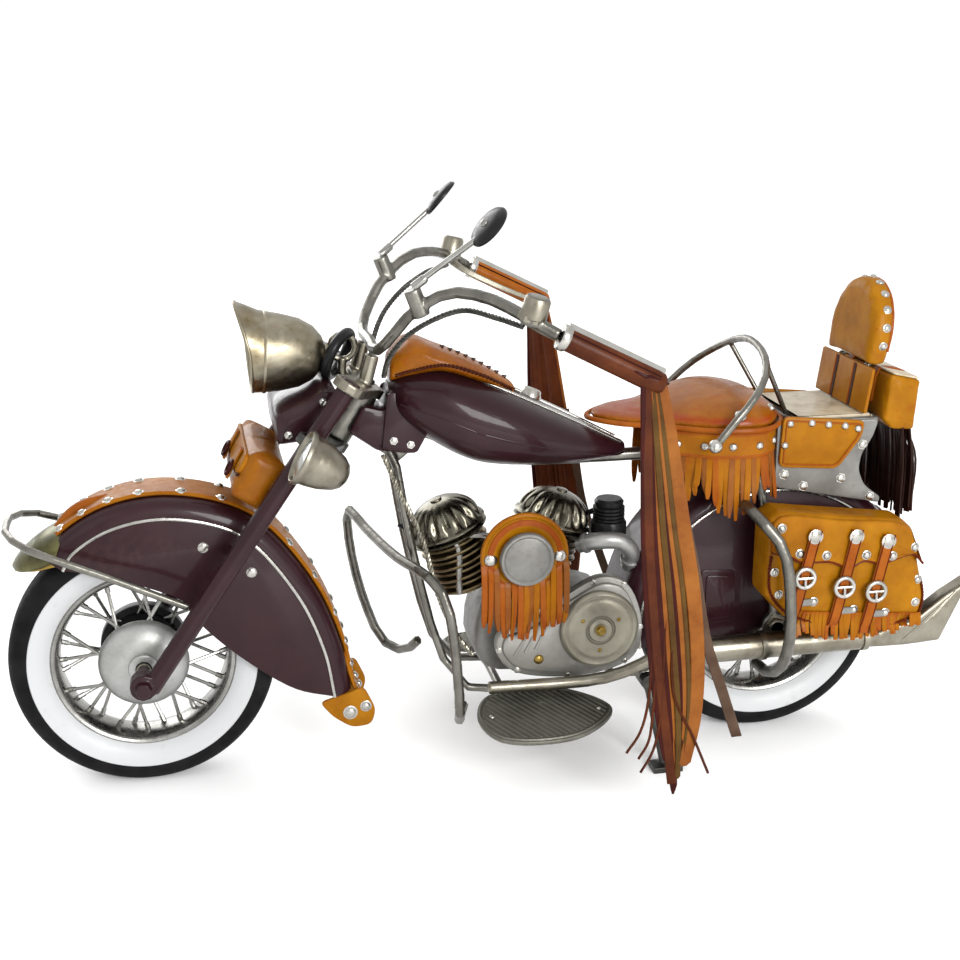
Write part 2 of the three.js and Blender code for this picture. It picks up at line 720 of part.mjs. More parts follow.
// A pad with a round top that leans back.
function backrest() {
  const radius = 23;
  const low = 169.2;
  const edge = 2.5;
  const slope = 0.14;
  const dome = arc(0, 181.5, radius, 0, 180, 14);
  const shape = new THREE.Shape(flat([...dome, [1 - radius, low], [radius - 1, low]]));
  const pad = new THREE.ExtrudeGeometry(shape, {
    depth: 4, bevelEnabled: true, bevelThickness: edge, bevelSize: edge, bevelOffset: -edge, bevelSegments: 2,
  });
  const towardsTail = new THREE.Matrix4().makeBasis(at(0, 1, 0), at(0, 0, 1), at(1, 0, 0));
  const lean = new THREE.Matrix4().makeShear(0, 0, 0, 0, slope, 0);
  return pad.applyMatrix4(towardsTail).applyMatrix4(lean).translate(310.5 - slope * low, 0, 0);
}

add('backrest', backrest(), 'tan');

// A box bag behind the backrest, with its dark fringe hanging below as a thin apron.
function rearBag() {
  const box = slab([[314.5, 146], [316.5, 167], [331, 164], [329.5, 141], [318.5, 141.5]], -28, 28, 2.5);
  const apron = slab([[327, 143], [329.5, 143], [332.5, 101], [330.8, 101]], -25, 25);
  return join(box, apron);
}

add('rear_bag', rearBag(), 'tan');

// ---- fork and steering --------------------------------------------------------------------

const fork = new THREE.Group();
fork.position.set(HEAD_X, 0, HEAD_Z);
fork.rotation.y = RAKE;
motorcycle.add(fork);

// Where a point of the machine lies in the fork's own axes: x behind the steering axis, z along it.
function inFork(x, z) {
  const dx = x - HEAD_X;
  const dz = z - HEAD_Z;
  return [dx * Math.cos(RAKE) - dz * Math.sin(RAKE), dx * Math.sin(RAKE) + dz * Math.cos(RAKE)];
}

const [axleBack, axleUp] = inFork(0, AXLE_Z);
const legTop = 9.5;
const FRONT_AXLE_REACH = 20.7;

// A leg with a boss, a nut and a short spindle that reaches in to the front axle.
function forkLeg(side) {
  const y = side * FORK_LEG_Y;
  const onAxle = (distance) => at(axleBack, side * distance, axleUp);
  const leg = rod(at(-FORK_LEG_OFFSET, y, axleUp), at(-FORK_LEG_OFFSET, y, legTop), FORK_LEG_RADIUS, 12);
  const boss = rod(onAxle(31), onAxle(38.6), 5.5, 12);
  const nut = rod(onAxle(38), onAxle(42), 3.4, 6);
  const spindle = rod(onAxle(FRONT_AXLE_REACH + 0.3), onAxle(32), AXLE_RADIUS, 12);
  return join(leg, boss, nut, spindle);
}

// A clamp across both fork legs: a plate with round ends.
function clampPlate(low, high) {
  const outline = [
    ...arc(-FORK_LEG_OFFSET, FORK_LEG_Y, 6.5, 10, 235, 7), [-8.5, 8], [-8.5, -8],
    ...arc(-FORK_LEG_OFFSET, -FORK_LEG_Y, 6.5, 125, 350, 7), ...arc(0, 0, 8.5, -50, 50, 4),
  ];
  const plate = sheet(outline, low, high - low);
  const holes = sides.map(([, side]) => rod(
    at(-FORK_LEG_OFFSET, side * FORK_LEG_Y, low - 2), at(-FORK_LEG_OFFSET, side * FORK_LEG_Y, high + 2),
    FORK_LEG_RADIUS + GAP, 12,
  ));
  return cut(plate, ...holes);
}

// The lower clamp carries the steering stem, which turns in the headstock.
function lowerClamp() {
  const stem = rod(at(0, 0, HEADSTOCK_LOW - 3.5), at(0, 0, HEADSTOCK_HIGH + 6), STEM_RADIUS, 12);
  return join(clampPlate(HEADSTOCK_LOW - 4.5, HEADSTOCK_LOW - 0.4), stem);
}

// The upper clamp carries the handlebar risers, the headlight arm and a small ring.
function upperClamp() {
  const stemHole = rod(at(0, 0, 0), at(0, 0, 20), STEM_RADIUS + GAP, 12);
  const plate = cut(clampPlate(HEADSTOCK_HIGH + 0.4, HEADSTOCK_HIGH + 4.5), stemHole);
  const placed = (x, z, y = 0) => {
    const [back, up] = inFork(x, z);
    return at(back, y, up);
  };
  const risers = sides.map(([, side]) => rod(
    placed(93, 165.5, side * 14), placed(97.3, 181, side * 14), 3, 10,
  ));
  const arm = tube([placed(88, 168), placed(86.5, 171), placed(86.8, 177.5)], 2, { steps: 4 });
  const [back, up] = inFork(87, 182);
  const ring = new THREE.TorusGeometry(5.2, 1.5, 5, 12).rotateX(Math.PI / 2).translate(back, 0, up);
  return join(plate, ...risers, arm, ring);
}

for (const [name, side] of sides) {
  add(`fork_leg_${name}`, forkLeg(side), 'paint', fork);
}
add('lower_fork_clamp', lowerClamp(), 'iron', fork);
add('upper_fork_clamp', upperClamp(), 'chrome', fork);

const frontAxle = rod(at(0, -FRONT_AXLE_REACH, AXLE_Z), at(0, FRONT_AXLE_REACH, AXLE_Z), AXLE_RADIUS, 12);

add('front_axle', frontAxle, 'pewter');

// ---- handlebar and what is on it ----------------------------------------------------------

const gripStart = at(156, -BAR_HALF_SPAN + 3, 200.5);
const gripEnd = at(194, -BAR_HALF_SPAN, 181.5);

// One bent bar with a lever housing and a mirror clamp on each side.
function handlebar() {
  const half = [
    gripStart, at(147, -83, 205.5), at(134, -63, 211), at(122, -50, 211), at(110, -42, 203),
    at(101, -33, 190),
    at(98, -22, 184.5), at(98, 0, 184.5),
  ];
  const bar = tube(mirrorPath(half), BAR_RADIUS, { steps: 30, sides: 6 });
  const levers = sides.map(([, side]) => rod(
    at(146.5, side * 82.5, 204), at(149, side * 84, 214.5), 4.6, 10,
  ));
  const mirrorClamps = sides.map(([, side]) => rod(
    at(113, side * 44, 201.5), at(109, side * 44, 212), 3.6, 8,
  ));
  return join(bar, ...levers, ...mirrorClamps);
}

add('handlebar', handlebar(), 'chrome');

// A sleeve over the end of the bar.
function grip(side) {
  const along = gripEnd.clone().sub(gripStart).normalize();
  const from = gripStart.clone().addScaledVector(along, 1.3);
  const profile = [[0, 0], [3.6, 0], [4.2, 2], [4.4, 38], [3.4, 42.2], [0, 42.2]];
  const flip = (p) => at(p.x, p.y * -side, p.z);
  return turned(profile, 12, flip(from), flip(along));
}

// A bundle of long leather strips hanging from the end of the grip.
function gripFringe(side) {
  const y = side * (BAR_HALF_SPAN + 1.8);
  const outline = [
    [191, 175.5], [199.5, 175.5], [203, 168], [207, 110], [214, 40], [209, 17], [196, 19],
    [192, 60], [194, 120],
  ];
  return slab(outline, y - 1.6, y + 1.6, 0.5);
}

// A round mirror on a thin stalk from its clamp on the bar.
function mirror(side) {
  const y = side * 52;
  const stalk = rod(at(110.5, side * 45, 214), at(132.6, y, 231.4), 1.1, 8);
  const facing = at(0.72, side * -0.15, -0.62);
  const profile = [[0, -2], [3, -2], [8.4, -0.6], [9, 0.4], [8.6, 1], [0, 1]];
  const disc = turned(profile, 16, at(137, y, 236), facing);
  return join(stalk, disc);
}

// Brake and clutch cables: from the lever in front of the bar and down behind the upper clamp.
function controlCable(side) {
  return tube([
    at(144.5, side * 78, 202.5), at(137, side * 62, 203.5), at(128, side * 46, 203.5),
    at(117, side * 37, 198),
    at(108, side * 29, 190), at(102.5, side * 22, 180), at(101, side * 19.5, 173),
  ], 0.9, { steps: 14, sides: 6 });
}

for (const [name, side] of sides) {
  add(`grip_${name}`, grip(side), 'tan');
  add(`grip_fringe_${name}`, gripFringe(side), 'brown');
  add(`mirror_${name}`, mirror(side), 'iron');
  add(`control_cable_${name}`, controlCable(side), 'rubber');
}

// ---- lamps --------------------------------------------------------------------------------

const headlightFront = at(47, 0, 181.5);
const headlightBackwards = at(1, 0, -0.05);

// A deep bowl with a peak over the lens. It opens forwards.
function headlightShell() {
  const r = HEADLIGHT_RADIUS;
  const bowl = turned([
    [0, 33], [5, 32.4], [10, 29], [14, 22], [15.8, 14], [r, 5], [r, 0], [r - 1.4, 0], [r - 1.4, 5],
    [14.2, 14],
    [12.6, 21], [8.6, 28], [0, 30.5],
  ].reverse(), 18, headlightFront, headlightBackwards);
  const peak = turned([
    [r + 3, -4.5], [r - 0.9, 4], [r + 0.5, 5.5], [r + 4, -4.5], [r + 3, -4.5],
  ], 18, headlightFront, headlightBackwards);
  const above = slab([[30, 215], [30, 186], [60, 186], [60, 215]], -20, 20);
  return join(bowl, common(peak, above));
}

// A shallow domed glass inside the rim.
function headlightLens() {
  const r = HEADLIGHT_RADIUS - 1.4 - GAP;
  const profile = [[0, 0], [r * 0.6, 0.6], [r, 2.4], [r, 4.6], [0, 4.6]];
  return turned(profile, 18, headlightFront, headlightBackwards);
}

const FOG_LAMP_TILT = 0.5;
const fogAim = at(-Math.cos(FOG_LAMP_TILT), 0, Math.sin(FOG_LAMP_TILT));

// A bell-shaped lamp on a short stub beside each fork leg.
function fogLamp(side) {
  const r = FOG_LAMP_RADIUS;
  const mouth = at(65, side * 52, 150.5);
  const bell = turned([
    [0, -19], [3, -18.6], [6.5, -16], [9, -10], [10, -3], [r, -1.2], [r, 0.6], [9.4, 0.6],
    [8.6, -2.6], [7.8, -3], [0, -2.2],
  ], 16, mouth, fogAim);
  const back = mouth.clone().addScaledVector(fogAim, -12);
  const besideLeg = side * (FORK_LEG_Y + FORK_LEG_RADIUS + 2.6);
  return join(bell, rod(back, at(back.x - 4, besideLeg, back.z + 1.5), 2, 8));
}

add('headlight_shell', headlightShell(), 'pewter');
add('headlight_lens', headlightLens(), 'glass');
for (const [name, side] of sides) {
  add(`fog_lamp_${name}`, fogLamp(side), 'pewter');
}

// ---- front bumper, tool bag and wiring ----------------------------------------------------

// A wire loop around the nose of the front fender.
function bumper() {
  const half = [
    at(19.5, -28.6, 84), at(-12, -28, 99), at(-42, -24, 111.5), at(-50, -12, 114), at(-51, 0, 114.3),
  ];
  return tube(mirrorPath(half), 1.75, { steps: 20, sides: 6 });
}

// A box laid across the back slope of the front fender.
function toolBag() {
  return slab([[38, 130], [48, 147.5], [61, 140], [51, 121.5]], -30, 30, 2.5);
}

// A braided loom down the left front tube.
function wiring() {
  return tube([
    at(101, -14, 139), at(108, -16, 122), at(117, -16.5, 101), at(122, -18.5, 80), at(130, -19.5, 60),
    at(137, -19, 50),
  ], 1, { steps: 14, sides: 6 });
}

add('bumper', bumper(), 'chrome');
add('tool_bag', toolBag(), 'tan');
add('wiring', wiring(), 'pewter');

export default motorcycle;
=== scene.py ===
"""Looks of the tin touring motorcycle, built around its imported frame.

Sizes are in millimetres. Lengths along the machine are distances behind the front axle, as in the
part's source, and at() turns them into Blender's metres. The left side, with the stand, is towards -Y.
"""
import math
import random

import bmesh
import bpy
from mathutils import Matrix, Vector
from mathutils.bvhtree import BVHTree


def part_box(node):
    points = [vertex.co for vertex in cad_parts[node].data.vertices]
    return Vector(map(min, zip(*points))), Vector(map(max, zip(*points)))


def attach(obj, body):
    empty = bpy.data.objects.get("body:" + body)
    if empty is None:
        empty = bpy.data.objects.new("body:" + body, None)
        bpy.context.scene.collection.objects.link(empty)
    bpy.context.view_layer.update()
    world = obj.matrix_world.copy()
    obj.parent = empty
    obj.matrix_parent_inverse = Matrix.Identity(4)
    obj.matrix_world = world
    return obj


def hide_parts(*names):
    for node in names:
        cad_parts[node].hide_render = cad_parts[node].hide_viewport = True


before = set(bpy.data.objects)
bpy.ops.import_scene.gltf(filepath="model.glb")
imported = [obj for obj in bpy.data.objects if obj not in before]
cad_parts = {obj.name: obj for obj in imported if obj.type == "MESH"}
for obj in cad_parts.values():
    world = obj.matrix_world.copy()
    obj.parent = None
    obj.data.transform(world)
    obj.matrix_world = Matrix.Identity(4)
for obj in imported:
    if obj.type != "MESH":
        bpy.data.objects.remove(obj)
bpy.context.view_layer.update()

MM = 0.001
X = Vector((1, 0, 0))
Y = Vector((0, 1, 0))
Z = Vector((0, 0, 1))
SIDES = (("left", -1), ("right", 1))


def middle(node):
    """The centre of a CAD node's box."""
    low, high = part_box(node)
    return (low + high) / 2


FRONT_AXLE_X = middle("front_axle").x
AXLE_Z = middle("front_axle").z / MM
WHEELBASE = (middle("rear_axle").x - FRONT_AXLE_X) / MM


def at(x, y, z):
    """A point: behind the front axle, to the right, and above the ground."""
    return Vector((FRONT_AXLE_X + x * MM, y * MM, z * MM))


# ---- forms: each is a list of points and a list of faces ---------------------------------------

def between(a, b, c, d, share):
    """A point between b and c, on the centripetal Catmull-Rom curve through a, b, c and d."""
    knots = [0]
    for p, q in ((a, b), (b, c), (c, d)):
        knots.append(knots[-1] + max((q - p).length, 1e-9) ** 0.5)
    t = knots[1] + share * (knots[2] - knots[1])

    def step(p, q, i, j):
        return p + (q - p) * ((t - knots[i]) / (knots[j] - knots[i]))

    ab, bc, cd = step(a, b, 0, 1), step(b, c, 1, 2), step(c, d, 2, 3)
    return step(step(ab, bc, 0, 2), step(bc, cd, 1, 3), 1, 2)


def curve(points, count, closed=False):
    """A smooth line through the points, as count steps."""
    points = [Vector(p) for p in points]
    if closed:
        padded = [points[-1], *points, *points[:2]]
    else:
        padded = [2 * points[0] - points[1], *points, 2 * points[-1] - points[-2]]
    spans = len(padded) - 3
    line = []
    for i in range(count + (not closed)):
        t = i / count * spans
        k = min(int(t), spans - 1)
        line.append(between(*padded[k:k + 4], t - k))
    return line


def flat_curve(points, count, closed=False):
    """A smooth line through (u, v) points, as count steps."""
    return [p.to_2d() for p in curve([(u, v, 0) for u, v in points], count, closed)]


def routed(places, count):
    """A smooth line through places given as for at(), as count steps."""
    return curve([at(*place) for place in places], count)


def turns(count, start=0.0):
    """Angles that share out a full turn."""
    return [start + 2 * math.pi * i / count for i in range(count)]


def lofted(rings, closed=False):
    """A skin over rings that all have the same number of points, with ends unless it is closed."""
    count = len(rings[0])
    points = [p for ring in rings for p in ring]
    faces = []
    for r in range(len(rings) - (not closed)):
        here, there = r * count, (r + 1) % len(rings) * count
        for i in range(count):
            j = (i + 1) % count
            faces.append((here + i, here + j, there + j, there + i))
    if not closed:
        faces.append(tuple(range(count)))
        faces.append(tuple(range((len(rings) - 1) * count, len(rings) * count)))
    return points, faces


def revolved(profile, origin, axis, segments=48, closed=False, wave=None):
    """A turned form: the profile is (radius, distance along the axis). wave scales the radius."""
    axis = axis.normalized()
    across = axis.orthogonal().normalized()
    up = axis.cross(across)
    rings = []
    for radius, along in profile:
        ring = []
        for angle in turns(segments):
            r = radius * (wave(angle, along) if wave else 1)
            ring.append(origin + (axis * along + (across * math.cos(angle) + up * math.sin(angle)) * r) * MM)
        rings.append(ring)
    return lofted(rings, closed)


def circle(radius, sides=12):
    """A round section."""
    return [(radius * math.cos(a), radius * math.sin(a)) for a in turns(sides)]


def band(width, thickness, corner=0.35):
    """A flat section with eased corners."""
    w, t = width / 2, thickness / 2
    c = min(corner, t * 0.9, w * 0.9)
    return [(w, c - t), (w, t - c), (w - c, t), (c - w, t),
            (-w, t - c), (-w, c - t), (c - w, -t), (w - c, -t)]


def swept(path, section, side=None, grow=None, turn=None, closed=False):
    """A section (across, up) carried along a path. side sets where across first points.

    grow gives the section's width and height, and turn its twist, for a share of the way.
    """
    count = len(path)
    rings = []
    across = side
    for i, point in enumerate(path):
        before = path[i - 1] if i or closed else point
        after = path[(i + 1) % count] if i < count - 1 or closed else point
        along = (after - before).normalized()
        across = across or along.orthogonal()
        across = (across - along * across.dot(along)).normalized()
        up = along.cross(across)
        share = i / (count - 1)
        wide, high = grow(share) if grow else (1, 1)
        angle = turn(share) if turn else 0
        u = across * math.cos(angle) + up * math.sin(angle)
        v = up * math.cos(angle) - across * math.sin(angle)
        rings.append([point + (u * a * wide + v * b * high) * MM for a, b in section])
    return lofted(rings, closed)


def inset(outline, distance):
    """The outline moved inwards by a distance."""
    count = len(outline)
    area = sum(outline[i - 1][0] * outline[i][1] - outline[i][0] * outline[i - 1][1] for i in range(count))
    inward = math.copysign(distance, area)
    moved = []
    for i, (u, v) in enumerate(outline):
        (a, b), (c, d) = outline[i - 1], outline[(i + 1) % count]
        first = Vector((b - v, u - a)).normalized()
        second = Vector((v - d, c - u)).normalized()
        normal = (first + second).normalized()
        reach = inward / max(normal.dot(first), 0.4)
        moved.append((u + normal.x * reach, v + normal.y * reach))
    return moved


def pointed(start, loss):
    """A grow for swept() that narrows a strip from a share of its length on."""
    return lambda share: (1 - loss * max(0, share - start), 1)


def upright(side, out):
    """A place for plate(): u behind the front axle, v up, and w outwards from out, on one side."""
    return lambda u, v, w: at(u, side * (out + w), v)


def plate(outline, place, thickness, corner=0.4):
    """A plate with eased edges. place(u, v, w) puts an outline point at height w in space."""
    steps = [(0, corner), (0.3 * corner, 0.3 * corner), (corner, 0)]
    levels = steps + [(thickness - w, d) for w, d in reversed(steps)]
    return lofted([[place(u, v, w) for u, v in inset(outline, d)] for w, d in levels])


def rounded(corners, radius, steps=4):
    """A polygon with round corners."""
    result = []
    count = len(corners)
    for i in range(count):
        corner = Vector(corners[i])
        before = Vector(corners[i - 1]) - corner
        after = Vector(corners[(i + 1) % count]) - corner
        reach = min(radius, before.length / 2.1, after.length / 2.1)
        first, last = corner + before.normalized() * reach, corner + after.normalized() * reach
        for k in range(steps + 1):
            t = k / steps
            point = first * (1 - t) ** 2 + corner * 2 * t * (1 - t) + last * t * t
            result.append((point.x, point.y))
    return result


def rivet(centre, normal, radius=1.7, height=1.1):
    """A domed rivet head, let a little into what it holds."""
    profile = [(radius, -0.5), (radius, 0.15 * height), (0.88 * radius, 0.5 * height),
               (0.6 * radius, 0.82 * height), (0.3 * radius, 0.96 * height), (0, height)]
    return revolved(profile, centre, normal, 14)


def stud(centre, normal, radius=1.8, height=1.2):
    """A rivet head in a pressed washer."""
    profile = [(radius * 1.3, -0.4), (radius * 1.3, 0.15), (radius * 1.1, 0.3), (radius, 0.32),
               (radius * 0.86, 0.6 * height), (radius * 0.5, 0.93 * height), (0, height)]
    return revolved(profile, centre, normal, 18)


def bolt(centre, normal, radius=1.6, height=1.3):
    """A hexagon head on a washer."""
    head = [(radius * 1.35, -0.3), (radius * 1.35, 0.3), (radius, 0.31), (radius, height * 0.85),
            (radius * 0.8, height), (0, height)]
    return revolved(head, centre, normal, 6)


def length(path):
    """The length of a path, in metres."""
    return sum((b - a).length for a, b in zip(path, path[1:]))


def along_path(path, distance):
    """The point a distance along a level path, and the level direction away from the path's middle."""
    for a, b in zip(path, path[1:]):
        step = (b - a).length
        if distance <= step:
            break
        distance -= step
    point = a + (b - a) * min(distance / step, 1)
    outward = (b - a).cross(Z).normalized()
    centre = sum(path, Vector()) / len(path)
    if outward.dot(point - centre) < 0:
        outward = -outward
    return point, outward


class Shape:
    """Points and faces gathered from several forms, which become one piece."""

    def __init__(self):
        self.points, self.faces, self.paints = [], [], []

    def add(self, form, paint=0):
        """Takes in a form. paint is the number of its material in build()."""
        points, faces = form
        start = len(self.points)
        self.points += [tuple(p) for p in points]
        self.faces += [tuple(start + i for i in face) for face in faces]
        self.paints += [paint] * len(faces)
        return self

    def fasten(self, head, spots, out, paint, *size):
        """Heads at (x, z) spots on both sides, out millimetres from the middle."""
        for side in (-1, 1):
            for x, z in spots:
                self.add(head(at(x, side * out, z), Y * side, *size), paint)

    def build(self, name, body, slot, *materials, sharp=38, replaces=()):
        """Makes the piece. Edges that bend by more than sharp degrees stay crisp."""
        mesh = bpy.data.meshes.new(name)
        mesh.from_pydata(self.points, [], self.faces)
        for _ in materials:
            mesh.materials.append(None)
        for polygon, paint in zip(mesh.polygons, self.paints):
            polygon.material_index = paint
        tidy = bmesh.new()
        tidy.from_mesh(mesh)
        bmesh.ops.remove_doubles(tidy, verts=tidy.verts, dist=1e-7)
        bmesh.ops.recalc_face_normals(tidy, faces=tidy.faces)
        tidy.to_mesh(mesh)
        tidy.free()
        mesh.shade_smooth()
        mesh.set_sharp_from_angle(angle=math.radians(sharp))
        return settled(bpy.data.objects.new(name, mesh), body, slot, *materials, replaces=replaces)


def settled(piece, body, slot, *materials, replaces=()):
    """Puts a finished piece into the scene, on its body."""
    if piece.name not in bpy.context.scene.collection.objects:
        bpy.context.scene.collection.objects.link(piece)
    slots = piece.data.materials
    for i, material in enumerate(materials):
        if i < len(slots):
            slots[i] = material
        else:
            slots.append(material)
    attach(piece, body)
    if replaces:
        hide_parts(*replaces)
    return piece


def applied(piece):
    """Replaces a piece's mesh by what its modifiers make of it."""
    graph = bpy.context.evaluated_depsgraph_get()
    mesh = bpy.data.meshes.new_from_object(piece.evaluated_get(graph))
    piece.modifiers.clear()
    piece.data = mesh
    return piece


def copy_of(node, name):
    """A new piece with a CAD node's shape."""
    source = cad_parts[node]
    piece = bpy.data.objects.new(name, source.data.copy())
    bpy.context.scene.collection.objects.link(piece)
    return piece


def softened(node, body, slot, material, voxel, rounds):
    """A fine, smooth copy of a CAD node, as if cast or bent by hand."""
    piece = copy_of(node, f"{node}_surface")
    remesh = piece.modifiers.new("remesh", "REMESH")
    remesh.mode = "VOXEL"
    remesh.voxel_size = voxel * MM
    smooth = piece.modifiers.new("smooth", "SMOOTH")
    smooth.factor = 0.5
    smooth.iterations = rounds
    applied(piece)
    piece.data.shade_smooth()
    return settled(piece, body, slot, material, replaces=(node,))


def puffed(piece, voxel, cap):
    """Stuffs a closed soft piece: a cloth simulation under pressure, at ten times its size.

    No point moves further than cap.
    """
    scale = 10
    pressure = 4.0
    last_frame = 20
    piece.data.transform(Matrix.Scale(scale, 4))
    remesh = piece.modifiers.new("remesh", "REMESH")
    remesh.mode = "VOXEL"
    remesh.voxel_size = voxel * MM * scale
    smooth = piece.modifiers.new("smooth", "SMOOTH")
    smooth.iterations = 3
    applied(piece)
    start = [v.co.copy() for v in piece.data.vertices]
    cloth = piece.modifiers.new("cloth", "CLOTH")
    cloth.settings.use_pressure = True
    cloth.settings.uniform_pressure_force = pressure
    cloth.settings.effector_weights.gravity = 0
    cloth.settings.quality = 4
    scene = bpy.context.scene
    for step in range(1, last_frame + 1):
        scene.frame_set(step)
    applied(piece)
    for vertex, before in zip(piece.data.vertices, start):
        move = vertex.co - before
        if move.length > cap * MM * scale:
            vertex.co = before + move.normalized() * cap * MM * scale
    scene.frame_set(1)
    relax = piece.modifiers.new("relax", "SMOOTH")
    relax.iterations = 2
    subdivide = piece.modifiers.new("subdivide", "SUBSURF")
    subdivide.levels = subdivide.render_levels = 1
    applied(piece)
    piece.data.transform(Matrix.Scale(1 / scale, 4))
    piece.data.shade_smooth()
    return piece


def cushion(node, body, material, voxel, cap, shape=None):
    """A padded piece that stands for a soft CAD node. It starts from shape or from the node itself."""
    if shape:
        piece = shape.build(f"{node}_cushion", body, "tan_leather", material)
        piece.parent = None
    else:
        piece = copy_of(node, f"{node}_cushion")
    puffed(piece, voxel, cap)
    settled(piece, body, "tan_leather", material, replaces=(node,))
    return piece


def surface_of(piece):
    """A finder of points on a piece: it returns the place and the normal where a ray meets it."""
    corners = [v.co for v in piece.data.vertices]
    tree = BVHTree.FromPolygons(corners, [p.vertices for p in piece.data.polygons])

    def find(origin, direction):
        place, normal, _, _ = tree.ray_cast(origin, direction.normalized())
        if place is None:
            place, normal, _, _ = tree.find_nearest(origin)
        return place, normal

    return find


# ---- materials ------------------------------------------------------------------------------------

class Finish:
    """A procedural material: one Principled shader and what feeds it."""

    def __init__(self, name, metallic=0.0, coat=0.0, coat_roughness=0.1, specular=0.5):
        self.material = bpy.data.materials.new(name)
        self.material.use_nodes = True
        self.tree = self.material.node_tree
        self.shader = self.tree.nodes["Principled BSDF"]
        self.shader.inputs["Metallic"].default_value = metallic
        self.shader.inputs["Specular IOR Level"].default_value = specular
        self.shader.inputs["Coat Weight"].default_value = coat
        self.shader.inputs["Coat Roughness"].default_value = coat_roughness
        self.place = self.tree.nodes.new("ShaderNodeTexCoord").outputs["Object"]

    def node(self, kind, output, **inputs):
        """Adds a node, feeds its named inputs and returns one output and the node."""
        made = self.tree.nodes.new(kind)
        for key, value in inputs.items():
            self.feed(made.inputs[key.replace("_", " ")], value)
        return made.outputs[output], made

    def feed(self, socket, value):
        """Links a socket to another one, or sets it to a plain value."""
        if isinstance(value, bpy.types.NodeSocket):
            self.tree.links.new(value, socket)
        else:
            socket.default_value = value

    def noise(self, size, detail):
        """Clouds about size millimetres across."""
        return self.node("ShaderNodeTexNoise", "Fac", Vector=self.place, Scale=1 / (size * MM),
                         Detail=detail, Roughness=0.6)[0]

    def clouds(self, size, detail, first=0, last=1):
        """Noise spread from first to last."""
        return self.range(self.noise(size, detail), 0.3, 0.7, first, last)

    def cells(self, size):
        """Pits about size millimetres apart."""
        return self.node("ShaderNodeTexVoronoi", "Distance", Vector=self.place, Scale=1 / (size * MM))[0]

    def edges(self, low, high):
        """1 on outer edges and 0 elsewhere."""
        return self.range(self.node("ShaderNodeNewGeometry", "Pointiness")[0], low, high, 0, 1)

    def crease_shade(self, low, high):
        """1 in hollow places and 0 elsewhere: the mask for painted shade where a surface folds in."""
        return self.range(self.node("ShaderNodeNewGeometry", "Pointiness")[0], low, high, 1, 0)

    def range(self, source, low, high, first, last):
        """Turns low to high in the source into first to last."""
        result, made = self.node("ShaderNodeMapRange", "Result", Value=source)
        for socket, value in zip(made.inputs[1:5], (low, high, first, last)):
            socket.default_value = value
        return result

    def calculated(self, operation, a, b):
        result, made = self.node("ShaderNodeMath", "Value")
        made.operation = operation
        self.feed(made.inputs[0], a)
        self.feed(made.inputs[1], b)
        return result

    def times(self, a, b):
        return self.calculated("MULTIPLY", a, b)

    def plus(self, a, b):
        return self.calculated("ADD", a, b)

    def mix(self, share, first, second):
        """The first colour, with a share of the second."""
        result, made = self.node("ShaderNodeMixRGB", "Color")
        self.feed(made.inputs[0], share)
        self.feed(made.inputs[1], first)
        self.feed(made.inputs[2], second)
        return result

    def done(self, colour, roughness, bump=None, depth=0.02):
        """Feeds the shader and returns the material. depth is the bump's height in millimetres."""
        self.feed(self.shader.inputs["Base Color"], colour)
        self.feed(self.shader.inputs["Roughness"], roughness)
        if bump is not None:
            normal, _ = self.node("ShaderNodeBump", "Normal", Height=bump, Distance=depth * MM)
            self.feed(self.shader.inputs["Normal"], normal)
        return self.material


def rgb(red, green, blue):
    """A colour from its 0 to 255 display values."""
    def linear(value):
        value /= 255
        return value / 12.92 if value <= 0.04045 else ((value + 0.055) / 1.055) ** 2.4
    return (linear(red), linear(green), linear(blue), 1.0)


def darker(colour, share):
    return (*(c * share for c in colour[:3]), 1)


def leather(name, light, dark, burnt, gloss=0.38, coat=0.12, burnish=None):
    """Waxed leather. burnish is the span of heights, in millimetres, of a reddened band."""
    f = Finish(name, coat=coat, coat_roughness=0.25, specular=0.02)
    colour = f.mix(f.clouds(14, 5), dark, light)
    colour = f.mix(f.range(f.noise(6, 4), 0.56, 0.8, 0, 0.5), colour, burnt)
    colour = f.mix(f.times(f.edges(0.53, 0.62), 0.6), colour, burnt)
    # Painted shade: the leather darkens to near-black brown where it folds in.
    colour = f.mix(f.times(f.crease_shade(0.42, 0.49), 0.6), colour, darker(dark, 0.2))
    if burnish:
        height = f.node("ShaderNodeSeparateXYZ", "Z", Vector=f.place)[0]
        low, high = (h * MM for h in burnish)
        above = f.range(height, low, (low + high) / 2, 0, 1)
        below = f.range(height, (low + high) / 2, high, 1, 0)
        patchy = f.range(f.noise(9, 3), 0.35, 0.6, 0.45, 0.95)
        colour = f.mix(f.times(f.times(above, below), patchy), colour, burnt)
    pores = f.plus(f.times(f.cells(0.9), 0.5), f.times(f.noise(0.45, 3), 0.6))
    return f.done(colour, f.clouds(3, 4, gloss - 0.1, gloss + 0.16), pores, 0.09)


def metal(name, bright, dull, roughness, metallic=1.0, grain=0.8, depth=0.03, specular=0.5, hollow_shade=0.6):
    """Plated or cast metal: cloudy tarnish, painted shade in hollow places, and rubbed edges with a painted
    highlight.
    """
    f = Finish(name, metallic=metallic, specular=specular)
    colour = f.mix(f.clouds(12, 5), bright, dull)
    specks = f.range(f.noise(1.6, 4), 0.6, 0.78, 0, 0.5)
    colour = f.mix(specks, colour, darker(dull, 0.5))
    # Painted shade: the metal darkens almost to black in its hollow places.
    colour = f.mix(f.times(f.crease_shade(0.42, 0.49), hollow_shade), colour, darker(dull, 0.15))
    # Edges rubbed bright, and lightened further as a painted highlight.
    colour = f.mix(f.times(f.edges(0.52, 0.6), 0.4), colour, bright)
    rough = f.clouds(2.5, 5, roughness - 0.07, roughness + 0.12)
    return f.done(colour, rough, f.noise(grain, 4), depth)


